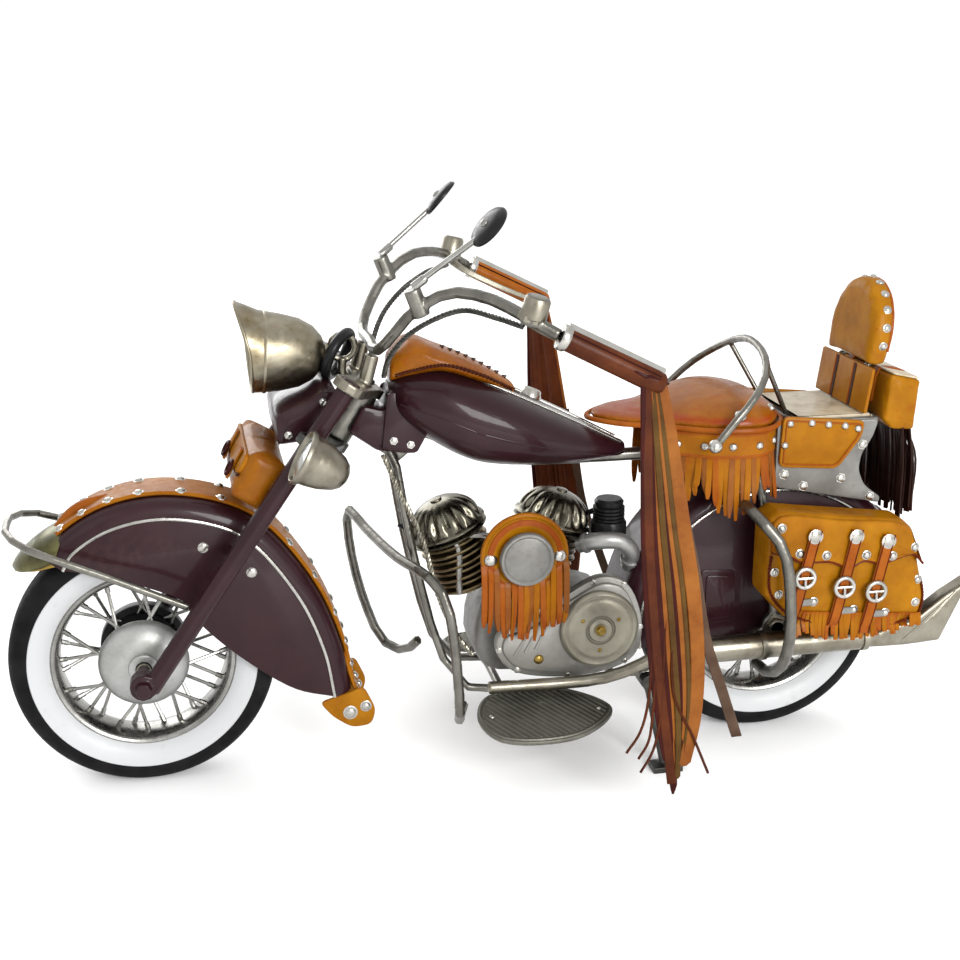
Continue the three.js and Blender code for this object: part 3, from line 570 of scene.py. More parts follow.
def painted():
    """Deep maroon lacquer, a little worn on its edges, with painted shade where it folds in."""
    f = Finish("maroon_paint", coat=0.22, coat_roughness=0.08, specular=0.15)
    base = f.mix(f.clouds(22, 4), rgb(32, 9, 15), rgb(42, 18, 23))
    worn = f.times(f.edges(0.53, 0.62), f.range(f.noise(3, 5), 0.45, 0.62, 0, 1))
    # Painted shade: the lacquer darkens where the surface folds in.
    base = f.mix(f.times(f.crease_shade(0.43, 0.49), 0.6), base, rgb(22, 10, 12))
    base = f.mix(f.times(worn, 0.05), base, rgb(120, 88, 70))
    return f.done(base, f.clouds(5, 4, 0.3, 0.46), f.noise(1.1, 3), 0.025)


def rubber():
    f = Finish("tyre_rubber", specular=0.06)
    base = f.mix(f.range(f.noise(12, 5), 0.35, 0.7, 0, 1), rgb(15, 15, 16), rgb(29, 28, 29))
    return f.done(base, f.clouds(4, 4, 0.5, 0.72), f.noise(0.8, 4), 0.05)


def whitewall():
    f = Finish("whitewall", coat=0.15, coat_roughness=0.3)
    base = f.mix(f.range(f.noise(7, 6), 0.62, 0.8, 0, 0.7), rgb(178, 179, 180), rgb(150, 146, 138))
    # Painted shade: the white wall darkens to grey-brown where it folds in.
    base = f.mix(f.times(f.crease_shade(0.44, 0.49), 0.8), base, rgb(120, 108, 96))
    return f.done(base, f.clouds(3, 4, 0.38, 0.55), f.noise(1.2, 3), 0.03)


def glass():
    f = Finish("lamp_glass", coat=0.9, coat_roughness=0.05)
    ribs = f.node("ShaderNodeTexWave", "Fac", Vector=f.place, Scale=1 / (9 * MM))[0]
    base = f.mix(f.clouds(6, 4), rgb(98, 106, 102), rgb(140, 145, 137))
    return f.done(base, f.clouds(2, 3, 0.1, 0.25), ribs, 0.2)


def cream():
    f = Finish("cream_plate", coat=0.2)
    base = f.mix(f.range(f.noise(8, 6), 0.4, 0.7, 0, 1), rgb(180, 168, 144), rgb(146, 130, 102))
    return f.done(base, f.clouds(3, 4, 0.4, 0.6), f.noise(0.9, 4), 0.04)


PAINT = painted()
# Where a metal below gives a strength for its hollow places, that is how strongly painted shade darkens them.
PEWTER = metal("antique_pewter", rgb(148, 144, 131), rgb(112, 106, 93), 0.33)
NICKEL = metal("dull_nickel", rgb(128, 126, 119), rgb(90, 88, 82), 0.32, grain=1.2, hollow_shade=0.35)
CHROME = metal("worn_chrome", rgb(158, 157, 153), rgb(118, 117, 112), 0.26, grain=1.6, hollow_shade=0.2)
SILVER = metal("silver_rivet", rgb(192, 190, 185), rgb(149, 147, 139), 0.24, hollow_shade=0.3)
SATIN = metal("satin_hub", rgb(173, 173, 171), rgb(144, 144, 140), 0.4, metallic=0.8, hollow_shade=0.15)
CASTING = metal("grey_casting", rgb(128, 127, 123), rgb(98, 96, 92), 0.44,
                metallic=0.55, grain=0.5, depth=0.07)
COVER = metal("pale_casting", rgb(149, 147, 142), rgb(123, 121, 115), 0.42,
              metallic=0.6, grain=0.5, depth=0.06)
FLUTED = metal("fluted_pewter", rgb(132, 128, 114), rgb(62, 58, 48), 0.24, hollow_shade=0.9)
WORN = metal("worn_steel", rgb(112, 111, 102), rgb(74, 73, 65), 0.46, metallic=0.75, grain=0.6, depth=0.05)
LAMP = metal("lamp_plating", rgb(153, 148, 133), rgb(106, 93, 65), 0.32)
CHAMPAGNE = metal("clutch_plating", rgb(150, 146, 131), rgb(125, 120, 106), 0.36, metallic=0.7)
BRASS = metal("brass", rgb(164, 141, 75), rgb(119, 93, 43), 0.3)
FINS = metal("brassy_fins", rgb(135, 120, 91), rgb(88, 73, 51), 0.36, hollow_shade=0.8)
OLIVE = metal("gilded_olive", rgb(104, 101, 65), rgb(51, 49, 31), 0.36, metallic=0.8)
IRON = metal("dark_iron", rgb(81, 80, 76), rgb(44, 43, 40), 0.42, metallic=0.85, grain=0.5, depth=0.06)
BLACK = metal("black_enamel", rgb(27, 27, 28), rgb(14, 14, 14), 0.3, metallic=0.0, specular=0.16)
TAN = leather("tan_leather", rgb(150, 99, 12), rgb(124, 76, 6), rgb(128, 50, 12))
SADDLE = leather("saddle_leather", rgb(140, 82, 8), rgb(112, 58, 4), rgb(128, 42, 10),
                 gloss=0.28, coat=0.34, burnish=(149, 153))
ORANGE = leather("orange_leather", rgb(150, 86, 22), rgb(126, 64, 14), rgb(112, 38, 12), gloss=0.4)
TOOL_HIDE = leather("tool_bag_leather", rgb(140, 86, 12), rgb(110, 60, 6), rgb(126, 46, 12),
                    gloss=0.34, coat=0.22)
BROWN = leather("brown_leather", rgb(84, 42, 20), rgb(58, 26, 13), rgb(48, 16, 10), gloss=0.38)
TOBACCO = leather("tobacco_leather", rgb(142, 88, 36), rgb(112, 62, 22), rgb(82, 38, 16), gloss=0.42)
OLIVE_HIDE = leather("olive_leather", rgb(90, 68, 30), rgb(64, 44, 18), rgb(52, 24, 12), gloss=0.44)
SUEDE = leather("grey_brown_suede", rgb(92, 74, 60), rgb(64, 48, 38), rgb(50, 32, 24), gloss=0.6)
BURNT = leather("burnt_edge", rgb(104, 38, 10), rgb(76, 24, 8), rgb(48, 14, 6), gloss=0.34)
OXBLOOD = leather("oxblood_leather", rgb(62, 20, 15), rgb(42, 13, 11), rgb(30, 8, 7), gloss=0.32)
DARK = leather("dark_leather", rgb(44, 28, 23), rgb(22, 14, 13), rgb(52, 26, 18), gloss=0.42)
RUBBER = rubber()
WHITE = whitewall()
GLASS = glass()
CREAM = cream()


# ---- wheels -----------------------------------------------------------------------------------------

def tyre(name, body, x):
    """A tyre with a grooved tread and a white wall on both sides."""
    centre = at(x, 0, AXLE_Z)
    tread = AXLE_Z
    half = [(37.4, 8), (41, 10.9), (46.4, 12.0), (47.4, 12.5), (49.6, 12.2), (52.4, 10.7), (54, 8.4),
            (tread - 0.1, 5.6), (tread, 3.2), (tread - 0.5, 2.8), (tread - 0.5, 2.4), (tread, 2.0)]
    profile = half + [(r, -y) for r, y in reversed(half)]
    white = [(37.5, 8.2), (39.5, 10.2), (42.5, 11.7), (46.6, 12.6), (46.9, 12.3), (46.6, 11.6), (41, 10),
             (37.5, 7.4)]
    shape = Shape().add(revolved(profile, centre, Y, 128, closed=True))
    for side in (-1, 1):
        shape.add(revolved([(r, y * side) for r, y in white], centre, Y, 128, closed=True), 1)
    shape.build(f"{name}_tyre_rubber", body, "tyre_rubber", RUBBER, WHITE, replaces=(f"{name}_tyre",))


def wheel(name, body, x, cover):
    """Rim, crossed spokes with nipples, a black drum and a domed hub that reaches to cover on the left."""
    centre = at(x, 0, AXLE_Z)
    bead = [(33.9, 2.5), (34.4, 5.6), (35.4, 8.0), (36.2, 9.0), (37.3, 9.3), (38.0, 8.7)]
    rim = [(r, -y) for r, y in bead] + list(reversed(bead))
    bore = 3.4
    dome = [(bore, 0), (5.2, 0), (6, 0.3), (6.4, 1.0), (7.2, 1.0), (11, 1.6), (14.5, 3.0), (17, 5.0),
            (18.4, 6.9), (18.6, 8.0), (17.6, 8.4), (14.2, 8.8), (14.2, 9.8), (7.5, 10.6)]
    hub = [(r, y - cover) for r, y in dome] + [(6.5, 0), (7.5, 6), (bore, 9)]
    drum = [(bore, 6), (14.5, 6.2), (15, 8.2), (18, 8.6), (18.2, 9.4), (18.2, 13), (17.4, 13.9), (12, 14.4),
            (11.6, 13.9), (8, 13.9), (7.4, 14.8), (bore, 14.9)]
    shape = Shape().add(revolved(rim, centre, Y, 128, closed=True))
    shape.add(revolved(drum, centre, Y, 64, closed=True), 1).add(revolved(hub, centre, Y, 64, closed=True), 2)

    def spot(radius, along, angle):
        return centre + Vector((radius * math.cos(angle), along, radius * math.sin(angle))) * MM

    spokes = 16
    for side, flange in ((-1, 10.4 - cover), (1, 8.4)):
        for i in range(spokes):
            angle = 2 * math.pi * (i + (side > 0) / 2) / spokes
            lean = 0.36 if i % 2 else -0.36
            root = spot(13.6, flange, angle + lean)
            tip = spot(35.6, side * 2.2, angle)
            nipple = tip + (root - tip).normalized() * 4.4 * MM
            shape.add(swept([root, nipple, tip], circle(0.75, 8)))
            shape.add(swept([nipple, tip], circle(1.1, 8)))
    for angle in turns(5, start=0.3):
        shape.add(bolt(spot(15.3, 13.7, angle), Y, 1.0, 1.0))
    shape.build(f"{name}_rim_and_spokes", body, "chrome", CHROME, BLACK, SATIN, replaces=(f"{name}_wheel",))


def wheels():
    """Both wheels, and the axles that they turn on."""
    for name, x, cover in (("front", 0, 19), ("rear", WHEELBASE, 17)):
        tyre(name, f"{name}_wheel", x)
        wheel(name, f"{name}_wheel", x, cover)
    for name, x, body, reach in (("front", 0, "steering", 20.6), ("rear", WHEELBASE, "frame", 26.9)):
        profile = [(0, -reach), (2.6, -reach), (3, 0.5 - reach), (3, reach - 0.5), (2.6, reach), (0, reach)]
        shape = Shape().add(revolved(profile, at(x, 0, AXLE_Z), Y, 24))
        if name == "rear":
            for side in (-1, 1):
                shape.add(bolt(at(x, side * 24.7, AXLE_Z), Y * side, 3.9, 2.2))
        shape.build(f"{name}_axle_pin", body, "pewter", PEWTER, replaces=(f"{name}_axle",))


# ---- mudguards ----------------------------------------------------------------------------------------

def normals(line):
    """Outward normals of a side-view line that runs from the front, over the top, to the back."""
    result = []
    for i in range(len(line)):
        before, after = line[max(i - 1, 0)], line[min(i + 1, len(line) - 1)]
        result.append(Vector((before.y - after.y, after.x - before.x)).normalized())
    return result


SHOULDER_DEPTH = 8.0
SHEET = 1.1


def mudguard(crown, lower, half_width, top_half):
    """A rolled crown, flat side plates and a bright wire where they meet."""
    outward = normals(crown)
    steps = 8
    section = []
    for k in range(-2, 3):
        section.append((top_half * k / 2.5, 0.05 * k * k))
    for k in range(steps + 1):
        turn = math.pi / 2 * k / steps
        across = top_half + (half_width - top_half) * math.sin(turn)
        section.append((across, 0.3 + (SHOULDER_DEPTH - 0.3) * (1 - math.cos(turn))))
    half = [p for p in section if p[0] >= 0][1:]
    outer = [(-y, d) for y, d in reversed(half)] + [(0, 0)] + half
    inner = [(y * (1 - SHEET / half_width), d + SHEET) for y, d in reversed(outer)]
    rings = []
    for point, normal in zip(crown, outward):
        rings.append([at(point.x - normal.x * d, y, point.y - normal.y * d) for y, d in outer + inner])
    shape = Shape().add(lofted(rings))
    seam = [point - normal * SHOULDER_DEPTH for point, normal in zip(crown, outward)]
    corners = [seam[-1], *(Vector(p) for p in reversed(lower)), seam[0]]
    outline = seam + flat_curve(corners, 40)[1:-1]
    for side in (-1, 1):
        shape.add(plate(outline, upright(side, half_width - SHEET), SHEET, 0.3))
        wire = [at(p.x, side * (half_width + 0.1), p.y) for p in seam]
        shape.add(swept(wire, circle(0.75, 8)), 1)
    return shape


def front_mudguard():
    """The mudguard between the fork legs, with its nose cap and the bright wire round its tip."""
    crown = flat_curve([(-36, 103), (-31, 111), (-12, 122.5), (14, 126), (46, 116), (70, 87), (82, 58),
                        (86, 36)], 60)
    lower = [(-12, 94.8), (6, 88.2), (17, 82.5), (21.5, 75), (29, 66), (43, 53), (62, 39.5)]
    half_width = 17
    shape = mudguard(crown, lower, half_width, 10.5)
    shape.fasten(rivet, ((26.5, 105), (45.5, 93)), half_width, 1, 2.3, 0.9)
    for side in (-1, 1):
        shape.add(revolved([(2.2, 16), (2.2, 31)], at(37.2, 0, 103), Y * side, 20))
    shape.add(nose_cap(), 2)
    lip = routed([(-31.5, -14.5, 101), (-42, -10, 98), (-49.2, 0, 97.4), (-42, 10, 98),
                  (-31.5, 14.5, 101)], 24)
    shape.add(swept(lip, circle(1.0, 8)), 3)
    shape.build("front_mudguard", "steering", "paint", PAINT, SILVER, OLIVE, BRASS,
                replaces=("front_fender",))
    leather_strip(crown)


def nose_cap():
    """The pointed tip ahead of the mudguard, flattened below."""
    half_width, height = 16.2, 9.5
    rings = []
    steps = 10
    for k in range(steps + 1):
        t = k / steps
        size = math.sqrt(1 - 0.97 * t * t)
        x, z = -31 - 18.5 * t, 105.5 - 7.5 * t
        ring = [(half_width * size * math.cos(a), height * size * math.sin(a)) for a in turns(24)]
        rings.append([at(x + 0.35 * up, across, z + max(up, -0.45 * height * size)) for across, up in ring])
    return lofted(rings)


def leather_strip(crown):
    """The leather along the crown, with its rivets, a raised ridge in front and the mudflap behind."""
    outward = normals(crown)
    start = 9
    path = [at(p.x + n.x * 0.9, 0, p.y + n.y * 0.9) for p, n in zip(crown[start:], outward[start:])]
    shape = Shape().add(swept(path, band(21.5, 1.7, 0.5), side=Y))
    flap = routed([(83, 0, 52), (87.4, 0, 36), (90, 0, 30), (92, 0, 24)], 14)

    def widen(share):
        flare = 1 + 0.5 * math.sin(min(share * 1.9, 1) * math.pi / 2)
        return flare * (1 - 0.75 * max(0, share - 0.72) ** 1.5), 1

    shape.add(swept(flap, band(20.5, 1.8, 0.5), side=Y, grow=widen))
    cheek = rounded([(71.5, 32.5), (84, 36), (90.5, 38.5), (95.6, 27.5), (93.6, 20.5), (85, 19.8),
                     (77, 25.5)], 3)
    for side in (-1, 1):
        shape.add(plate(cheek, upright(side, 15.6), 1.6, 0.5))
    shape.fasten(stud, ((84.5, 27),), 17.2, 2, 2.4)
    shape.fasten(stud, ((91.2, 29.4),), 17.2, 2, 1.9)
    ridge = routed([(-31.5, 0, 111.5), (-22, 0, 119.2), (-8.5, 0, 124.6)], 18)

    def swell(share):
        size = math.sin(math.pi * min(0.12 + share * 0.88, 1)) ** 0.6
        return size, size

    section = [(3.4 * math.cos(a), 3.0 * math.sin(a)) for a in turns(16)]
    shape.add(swept(ridge, section, side=Y, grow=swell), 1)
    count = 13
    for i in range(count):
        k = start + 1 + round(i * (len(crown) - start - 2) / (count - 1))
        for side in (-1, 1):
            normal = Vector((outward[k].x, 0, outward[k].y))
            spot = at(crown[k].x, side * 8.6, crown[k].y) + normal * 1.6 * MM
            shape.add(stud(spot, normal, 1.75, 1.2), 2)
    for side in (-1, 1):
        for step, across in ((8, 10.6), (11, 10.2)):
            spot = flap[step] + Y * side * across * MM
            normal = Vector((0.86, 0, 0.5))
            shape.add(rivet(spot + normal * 0.9 * MM, normal, 2.0, 1.2), 2)
            shape.add(rivet(spot - normal * 0.9 * MM, -normal, 2.0, 1.0), 2)
    shape.build("mudguard_leather_strip", "steering", "tan_leather", TAN, ORANGE, SILVER,
                replaces=("fender_leather",))


def rear_mudguard():
    """The round rear mudguard, a pressed plate on each side, and the tail lamp."""
    radius = 69
    half_width = 20
    steps = 54
    first, span = 187, 162
    angles = [math.radians(first - span * i / steps) for i in range(steps + 1)]
    crown = [Vector((WHEELBASE + radius * math.cos(a), AXLE_Z + radius * math.sin(a))) for a in angles]
    shape = mudguard(crown, [(240, 47.6), (270, 48.6), (298, 51), (309, 62), (318, 75)], half_width, 12)
    corners = [(238, 56), (254.5, 57), (253.5, 80.5), (238, 81.5)]
    for side in (-1, 1):
        place = upright(side, half_width - 0.3)
        shape.add(plate(rounded(corners, 2), place, 1.0, 0.4))
        shape.add(plate(rounded(inset(corners, 2.2), 2), place, 1.7, 0.5))
    shape.fasten(rivet, ((262, 116), (300, 100)), half_width, 1, 2.0, 0.9)
    lamp_angle = 0.62
    lamp = at(WHEELBASE + radius * math.cos(lamp_angle), 0, AXLE_Z + radius * math.sin(lamp_angle))
    outward = Vector((math.cos(lamp_angle), 0, math.sin(lamp_angle)))
    shape.add(revolved([(7, -2), (7, 0.4), (6.2, 1.2), (5.2, 1.4), (5.2, 1), (0, 1)], lamp, outward, 32), 1)
    shape.add(revolved([(5, 0.5), (5, 1.4), (3.8, 2.4), (2, 3), (0, 3.2)], lamp, outward, 32), 2)
    shape.build("rear_mudguard", "frame", "paint", PAINT, SILVER, OXBLOOD, replaces=("rear_fender",))


# ---- frame, guards and engine ----------------------------------------------------------------------------

def tubes_and_castings():
    """The bent tubes and cast parts, and the painted covers of the neck and the fork."""
    softened("frame", "frame", "iron", NICKEL, 0.55, 8)
    softened("crankcase", "frame", "casting", CASTING, 0.8, 4)
    softened("engine_guard", "frame", "chrome", NICKEL, 0.5, 8)
    softened("saddle_rail", "frame", "chrome", NICKEL, 0.42, 8)
    softened("sissy_bar", "frame", "chrome", NICKEL, 0.4, 6)
    softened("bumper", "steering", "chrome", NICKEL, 0.4, 16)
    softened("handlebar", "steering", "chrome", NICKEL, 0.5, 8)
    softened("lower_fork_clamp", "steering", "iron", IRON, 0.5, 4)
    softened("upper_fork_clamp", "steering", "chrome", PEWTER, 0.45, 4)
    softened("side_stand", "side_stand", "iron", IRON, 0.5, 5)
    for name, _ in SIDES:
        softened(f"rear_guard_{name}", "frame", "chrome", NICKEL, 0.5, 8)
        softened(f"fork_leg_{name}", "steering", "paint", PAINT, 0.5, 6)
    shape = Shape()
    neck = rounded([(87.5, 148), (93.5, 159), (102.5, 156.5), (105, 165), (116, 165), (119, 148),
                    (114.4, 137.3), (99.4, 139.4)], 2)
    cheek = rounded([(103.5, 164), (116, 165), (121, 148), (115.5, 138), (101, 140.5)], 2)
    shape.add(plate(neck, upright(1, -9.6), 19.2, 1.6))
    for side in (-1, 1):
        shape.add(plate(cheek, upright(side, 9.4), 1.6, 0.5))
    shape.fasten(bolt, ((106, 144), (113, 142)), 10.9, 1, 1.3, 1.0)
    shape.build("neck_cover", "frame", "paint", PAINT, SILVER)

    shroud = rounded([(57.5, 147.5), (56.5, 160), (62, 163), (70, 165.5), (77, 170.5), (83, 168), (79.5, 158),
                      (72, 149)], 3)
    shape = Shape().add(plate(shroud, upright(1, -24), 48, 2.6))
    shape.fasten(bolt, ((62, 152), (76, 165)), 23.8, 1, 1.3, 1.1)
    shape.build("fork_shroud", "steering", "paint", PAINT, SILVER)

    facing = Vector((0.8, -0.45, -0.4)).normalized()
    across = facing.orthogonal().normalized()
    up = facing.cross(across)
    spots = [at(85, 0, 179) + (across * math.cos(a) + up * math.sin(a)) * 9.6 * MM for a in turns(40)]
    collar = Shape().add(swept(spots, circle(2.3, 14), closed=True))
    collar.build("lamp_collar", "steering", "iron", BLACK)


FRONT_BANK = (at(142, 0, 72), at(128, 0, 107))
REAR_BANK = (at(166, 0, 72), at(178, 0, 108))


def engine():
    """Both finned barrels with their push rod tubes, and all that is mounted on the crankcase."""
    core = 11
    fins = 8
    for name, (foot, top) in (("front", FRONT_BANK), ("rear", REAR_BANK)):
        axis = (top - foot).normalized()
        height = (top - foot).length / MM - 8.6
        start = 6.5
        pitch = (height - start) / fins
        profile = [(0, start - 2), (core, start - 2)]
        for i in range(fins):
            low = start + i * pitch
            size = 15.0 - 0.6 * (i % 2)
            profile += [(core, low), (size - 0.4, low + 0.2), (size, low + 0.8), (size - 0.4, low + 1.4),
                        (core, low + 1.6)]
        profile += [(core, height), (0, height)]
        barrel = Shape().add(revolved(profile, foot, axis, 64))
        for side in (-1, 1):
            tube = curve([foot + Vector((side * 9, -12.5, 4)) * MM,
                          foot + Vector((side * 8, -12.6, 20)) * MM + axis * 8 * MM,
                          top + Vector((side * 6, -10, -6)) * MM], 10)
            barrel.add(swept(tube, circle(1.5, 12)), 1)
        barrel.build(f"{name}_barrel", "frame", "casting", FINS, CHROME, sharp=25,
                     replaces=(f"{name}_cylinder",))
        head(name, foot, axis, height)
    covers()
    air_cleaner()
    oil_tank()


def head(name, foot, axis, base):
    """A dome with flutes that run from its middle to a rolled rim, on two thin fins."""
    radius = 17
    dome_height = 11.6

    def flutes(angle, along):
        rise = (along - base - 5) / 11
        strength = 0.17 * max(0, min(1, rise * 4)) * max(0, 1.08 - rise)
        return 1 - strength * abs(math.cos(8 * angle)) ** 4

    rim = [(0, 0), (14.5, 0), (radius - 0.6, 0.3), (radius, 0.9), (radius - 0.6, 1.5), (14.8, 1.8),
           (14.8, 2.4), (radius - 0.4, 2.7), (radius + 0.1, 3.3), (radius - 0.3, 4.1), (radius - 1.3, 4.6)]
    dome = []
    steps = 14
    for k in range(1, steps):
        turn = math.pi / 2 * k / steps
        dome.append(((radius - 1.3) * math.cos(turn) ** 0.85, 4.8 + dome_height * math.sin(turn)))
    profile = [(r, base + a) for r, a in (*rim, *dome, (0, 4.8 + dome_height))]
    shape = Shape().add(revolved(profile, foot, axis, 216, wave=flutes))
    crown = foot + axis * (base + 15.6) * MM
    shape.add(revolved([(2.6, 0), (2.6, 1.4), (2.0, 1.6), (0, 1.6)], crown, axis, 24))
    side = axis.cross(Y).normalized() * (1 if name == "front" else -1)
    plug = foot + axis * (base + 9) * MM + side * 14 * MM
    aim = (side * 0.8 + axis * 0.6).normalized()
    spark_plug = [(0, -2), (2.1, -2), (2.1, 1.2), (1.3, 1.3), (1.3, 5.2), (0.8, 5.4), (0.8, 6.4), (0, 6.4)]
    shape.add(revolved(spark_plug, plug, aim, 6), 1)
    shape.build(f"{name}_fluted_head", "frame", "pewter", FLUTED, BLACK, sharp=45,
                replaces=(f"{name}_cylinder_head",))


def covers():
    """The primary case with its cover bolts, the clutch dial on it, and the gearcase cover opposite."""
    outline = flat_curve([(146, 54), (152, 45), (166, 40.5), (192, 40.5), (207, 47), (210, 62), (203, 80),
                          (192, 84), (178, 78), (160, 66), (148, 62)], 72, closed=True)
    left = upright(-1, 21.4)
    shape = Shape().add(plate(outline, left, 5.6, 0.8))
    shape.add(plate(inset(outline, 2.4), left, 7.4, 1.6))
    for u, v in inset(outline, 1.2)[::8]:
        shape.add(bolt(left(u, v, 5.4), -Y, 1.1, 1.0), 1)
    shape.add(rivet(left(164, 49.5, 7.2), -Y, 2.2, 1.2), 2)
    for k in range(3):
        low, high = 153.5 + 4.5 * k, 158 + 4.5 * k
        shape.add(swept([left(low, 52 + k, 7.5), left(high, 59.5 + 2.4 * k, 7.5)], circle(0.7, 8)))
    shape.build("primary_case_cover", "frame", "casting", COVER, SILVER, BRASS, replaces=("primary_cover",))

    rings = [(0, 0), (17, 0), (17.2, 1.2), (16.6, 2.4), (15.6, 2.9), (14.8, 2.3), (13.6, 2.2), (12.8, 2.7),
             (11.4, 2.9), (6.6, 3.2), (6.2, 2.7), (5.4, 2.7), (4.9, 3.4), (3.4, 3.8), (3.0, 3.6), (0, 3.6)]
    centre = at(190, -29.1, 62)
    clutch = Shape().add(revolved(rings, centre, -Y, 80))
    clutch.add(bolt(centre - Y * 3.4 * MM, -Y, 1.9, 1.9), 1)
    for angle in turns(3, start=0.5):
        spot = centre + Vector((9 * math.cos(angle), -3.0, 9 * math.sin(angle))) * MM
        clutch.add(rivet(spot, -Y, 0.9, 0.5), 1)
    clutch.build("clutch_dial", "frame", "pewter", CHAMPAGNE, BRASS, replaces=("clutch_cover",))

    side_case = Shape()
    for angle in turns(4, start=0.7):
        side_case.add(bolt(at(170 + 14 * math.cos(angle), 18.6, 56 + 12 * math.sin(angle)), Y, 1.3, 1.2), 1)
    side_case.add(revolved([(0, 14), (17, 14), (17, 17.4), (15.4, 18.8), (0, 19)], at(170, 0, 56), Y, 56))
    side_case.add(revolved([(0, 15), (10, 15), (10, 18.2), (8.6, 19.2), (0, 19.4)], at(190, 0, 60), Y, 48))
    side_case.build("gearcase_side_cover", "frame", "casting", CASTING, SILVER)


def air_cleaner():
    """A round cover in a leather ring, from which a two-layered fringe hangs."""
    x, z = 156.5, 98
    centre = at(x, 0, z)
    disc = [(0, 13), (4.5, 13), (4.5, 26), (9, 27), (9.2, 35.6), (11.0, 35.8), (11.4, 36.6), (11.4, 38.2),
            (10.9, 39.0), (10.0, 39.1), (9.4, 38.6), (8.8, 38.8), (0, 39.4)]
    shape = Shape().add(revolved(disc, centre, -Y, 72))
    shape.build("air_cleaner_disc", "frame", "pewter", CASTING, replaces=("air_cleaner",))

    leather_ring = [(9.5, 32), (18.3, 32), (18.7, 32.8), (18.4, 33.9), (17.4, 34.4), (16.8, 34.0),
                    (16.2, 34.5), (14.6, 35.1), (12.4, 34.9), (11.6, 34.4), (9.5, 34.4)]
    ring = Shape().add(revolved(leather_ring, centre, -Y, 72, closed=True))
    ring.add(revolved([(13.6, 34.6), (16.2, 34.3), (16, 35), (13.8, 35.4)], centre, -Y, 72, closed=True), 1)
    tab = rounded([(x - 18.2, z - 2), (x + 18.2, z - 2), (x + 17.4, z - 19), (x - 17.4, z - 19)], 2)
    ring.add(plate(tab, upright(-1, 30.8), 1.6, 0.5))
    draw = random.Random(11)
    strips = 15
    for layer in range(2):
        for i in range(strips):
            across = 34 * (i / (strips - 1) - 0.5) + draw.uniform(-0.5, 0.5)
            high = z - (9 if abs(across) < 10.5 else 3)
            deep = z - 38 + draw.uniform(0, 5) + 0.025 * across ** 2
            drift = draw.uniform(-1.2, 1.2)
            y = -35.0 - 0.6 * layer
            line = routed([(x + across, -34, high), (x + across, y, high - 4),
                           (x + across + drift * 0.3, y - draw.uniform(0, 0.6), z - 24),
                           (x + across + drift, y + 1, deep)], 12)
            twist = draw.uniform(-0.9, 0.9)
            strip = swept(line, band(2.5, 0.7, 0.2), side=X, turn=lambda s: twist * s, grow=pointed(0.8, 2.5))
            ring.add(strip, draw.choice((0, 1, 1, 3)))
    for across in (-14.6, 14.6):
        ring.add(rivet(at(x + across, -34.4, z - 0.5), -Y, 2.9, 1.5), 2)
    ring.build("air_cleaner_leather_and_fringe", "frame", "tan_leather", TAN, ORANGE, SILVER, TOBACCO,
               replaces=("air_cleaner_leather",))


def oil_tank():
    """The black reservoir with its ribbed neck, and the intake elbow before it."""
    base = at(200, -6, 92)
    cap = [(0, 0), (7.4, 0), (7.8, 0.8), (7.8, 9.6), (7.2, 10.6)]
    for k in range(4):
        low = 10.8 + 1.6 * k
        cap += [(5.9, low), (6.9, low + 0.3), (6.9, low + 1.1), (5.9, low + 1.4)]
    cap += [(6.2, 17.6), (6.4, 19.2), (5.4, 20.4), (0, 20.5)]
    shape = Shape().add(revolved(cap, base, Z, 48))
    elbow = routed([(185, -12, 94), (192, -16, 96.5), (202, -17, 96), (208, -14, 90), (209, -9, 82)], 24)
    shape.add(swept(elbow, circle(3.7, 24)), 1)
    for k in (2, 21):
        shape.add(swept([elbow[k], elbow[k + 1]], circle(4.4, 24)), 1)
    shape.build("oil_tank_and_elbow", "frame", "iron", BLACK, SATIN, replaces=("oil_tank",))


EXHAUST_Y = -33.6
SILENCER_START = 214


def exhaust():
    """The pipe and its fishtail, with clamps round the silencer and ribs on the tail."""
    softened("exhaust", "frame", "pewter", PEWTER, 0.65, 5)
    rings = Shape()
    along = Vector((1, 0, 0.01))
    for x, radius in ((219, 5.4), (262, 6.4), (309, 6.2)):
        centre = at(x, EXHAUST_Y, 49.5 + 0.01 * (x - SILENCER_START))
        profile = [(radius - 0.8, -1.4), (radius, -1.2), (radius, 1.2), (radius - 0.8, 1.4)]
        rings.add(revolved(profile, centre, along, 40))
    for k in range(5):
        low = at(326 + 3.4 * k, EXHAUST_Y - 4.5, 48.6 + 2.6 * k)
        high = at(336 + 3.4 * k, EXHAUST_Y - 4.5, 57.4 + 3.2 * k)
        rings.add(swept([low, high], circle(0.5, 6)))
    rings.build("exhaust_clamps", "frame", "pewter", PEWTER)


BOARD_REACH = 29
BOARD_DEPTH = 17.5
BOARD_SLOPE = 0.18
RIB_PITCH = 2.9


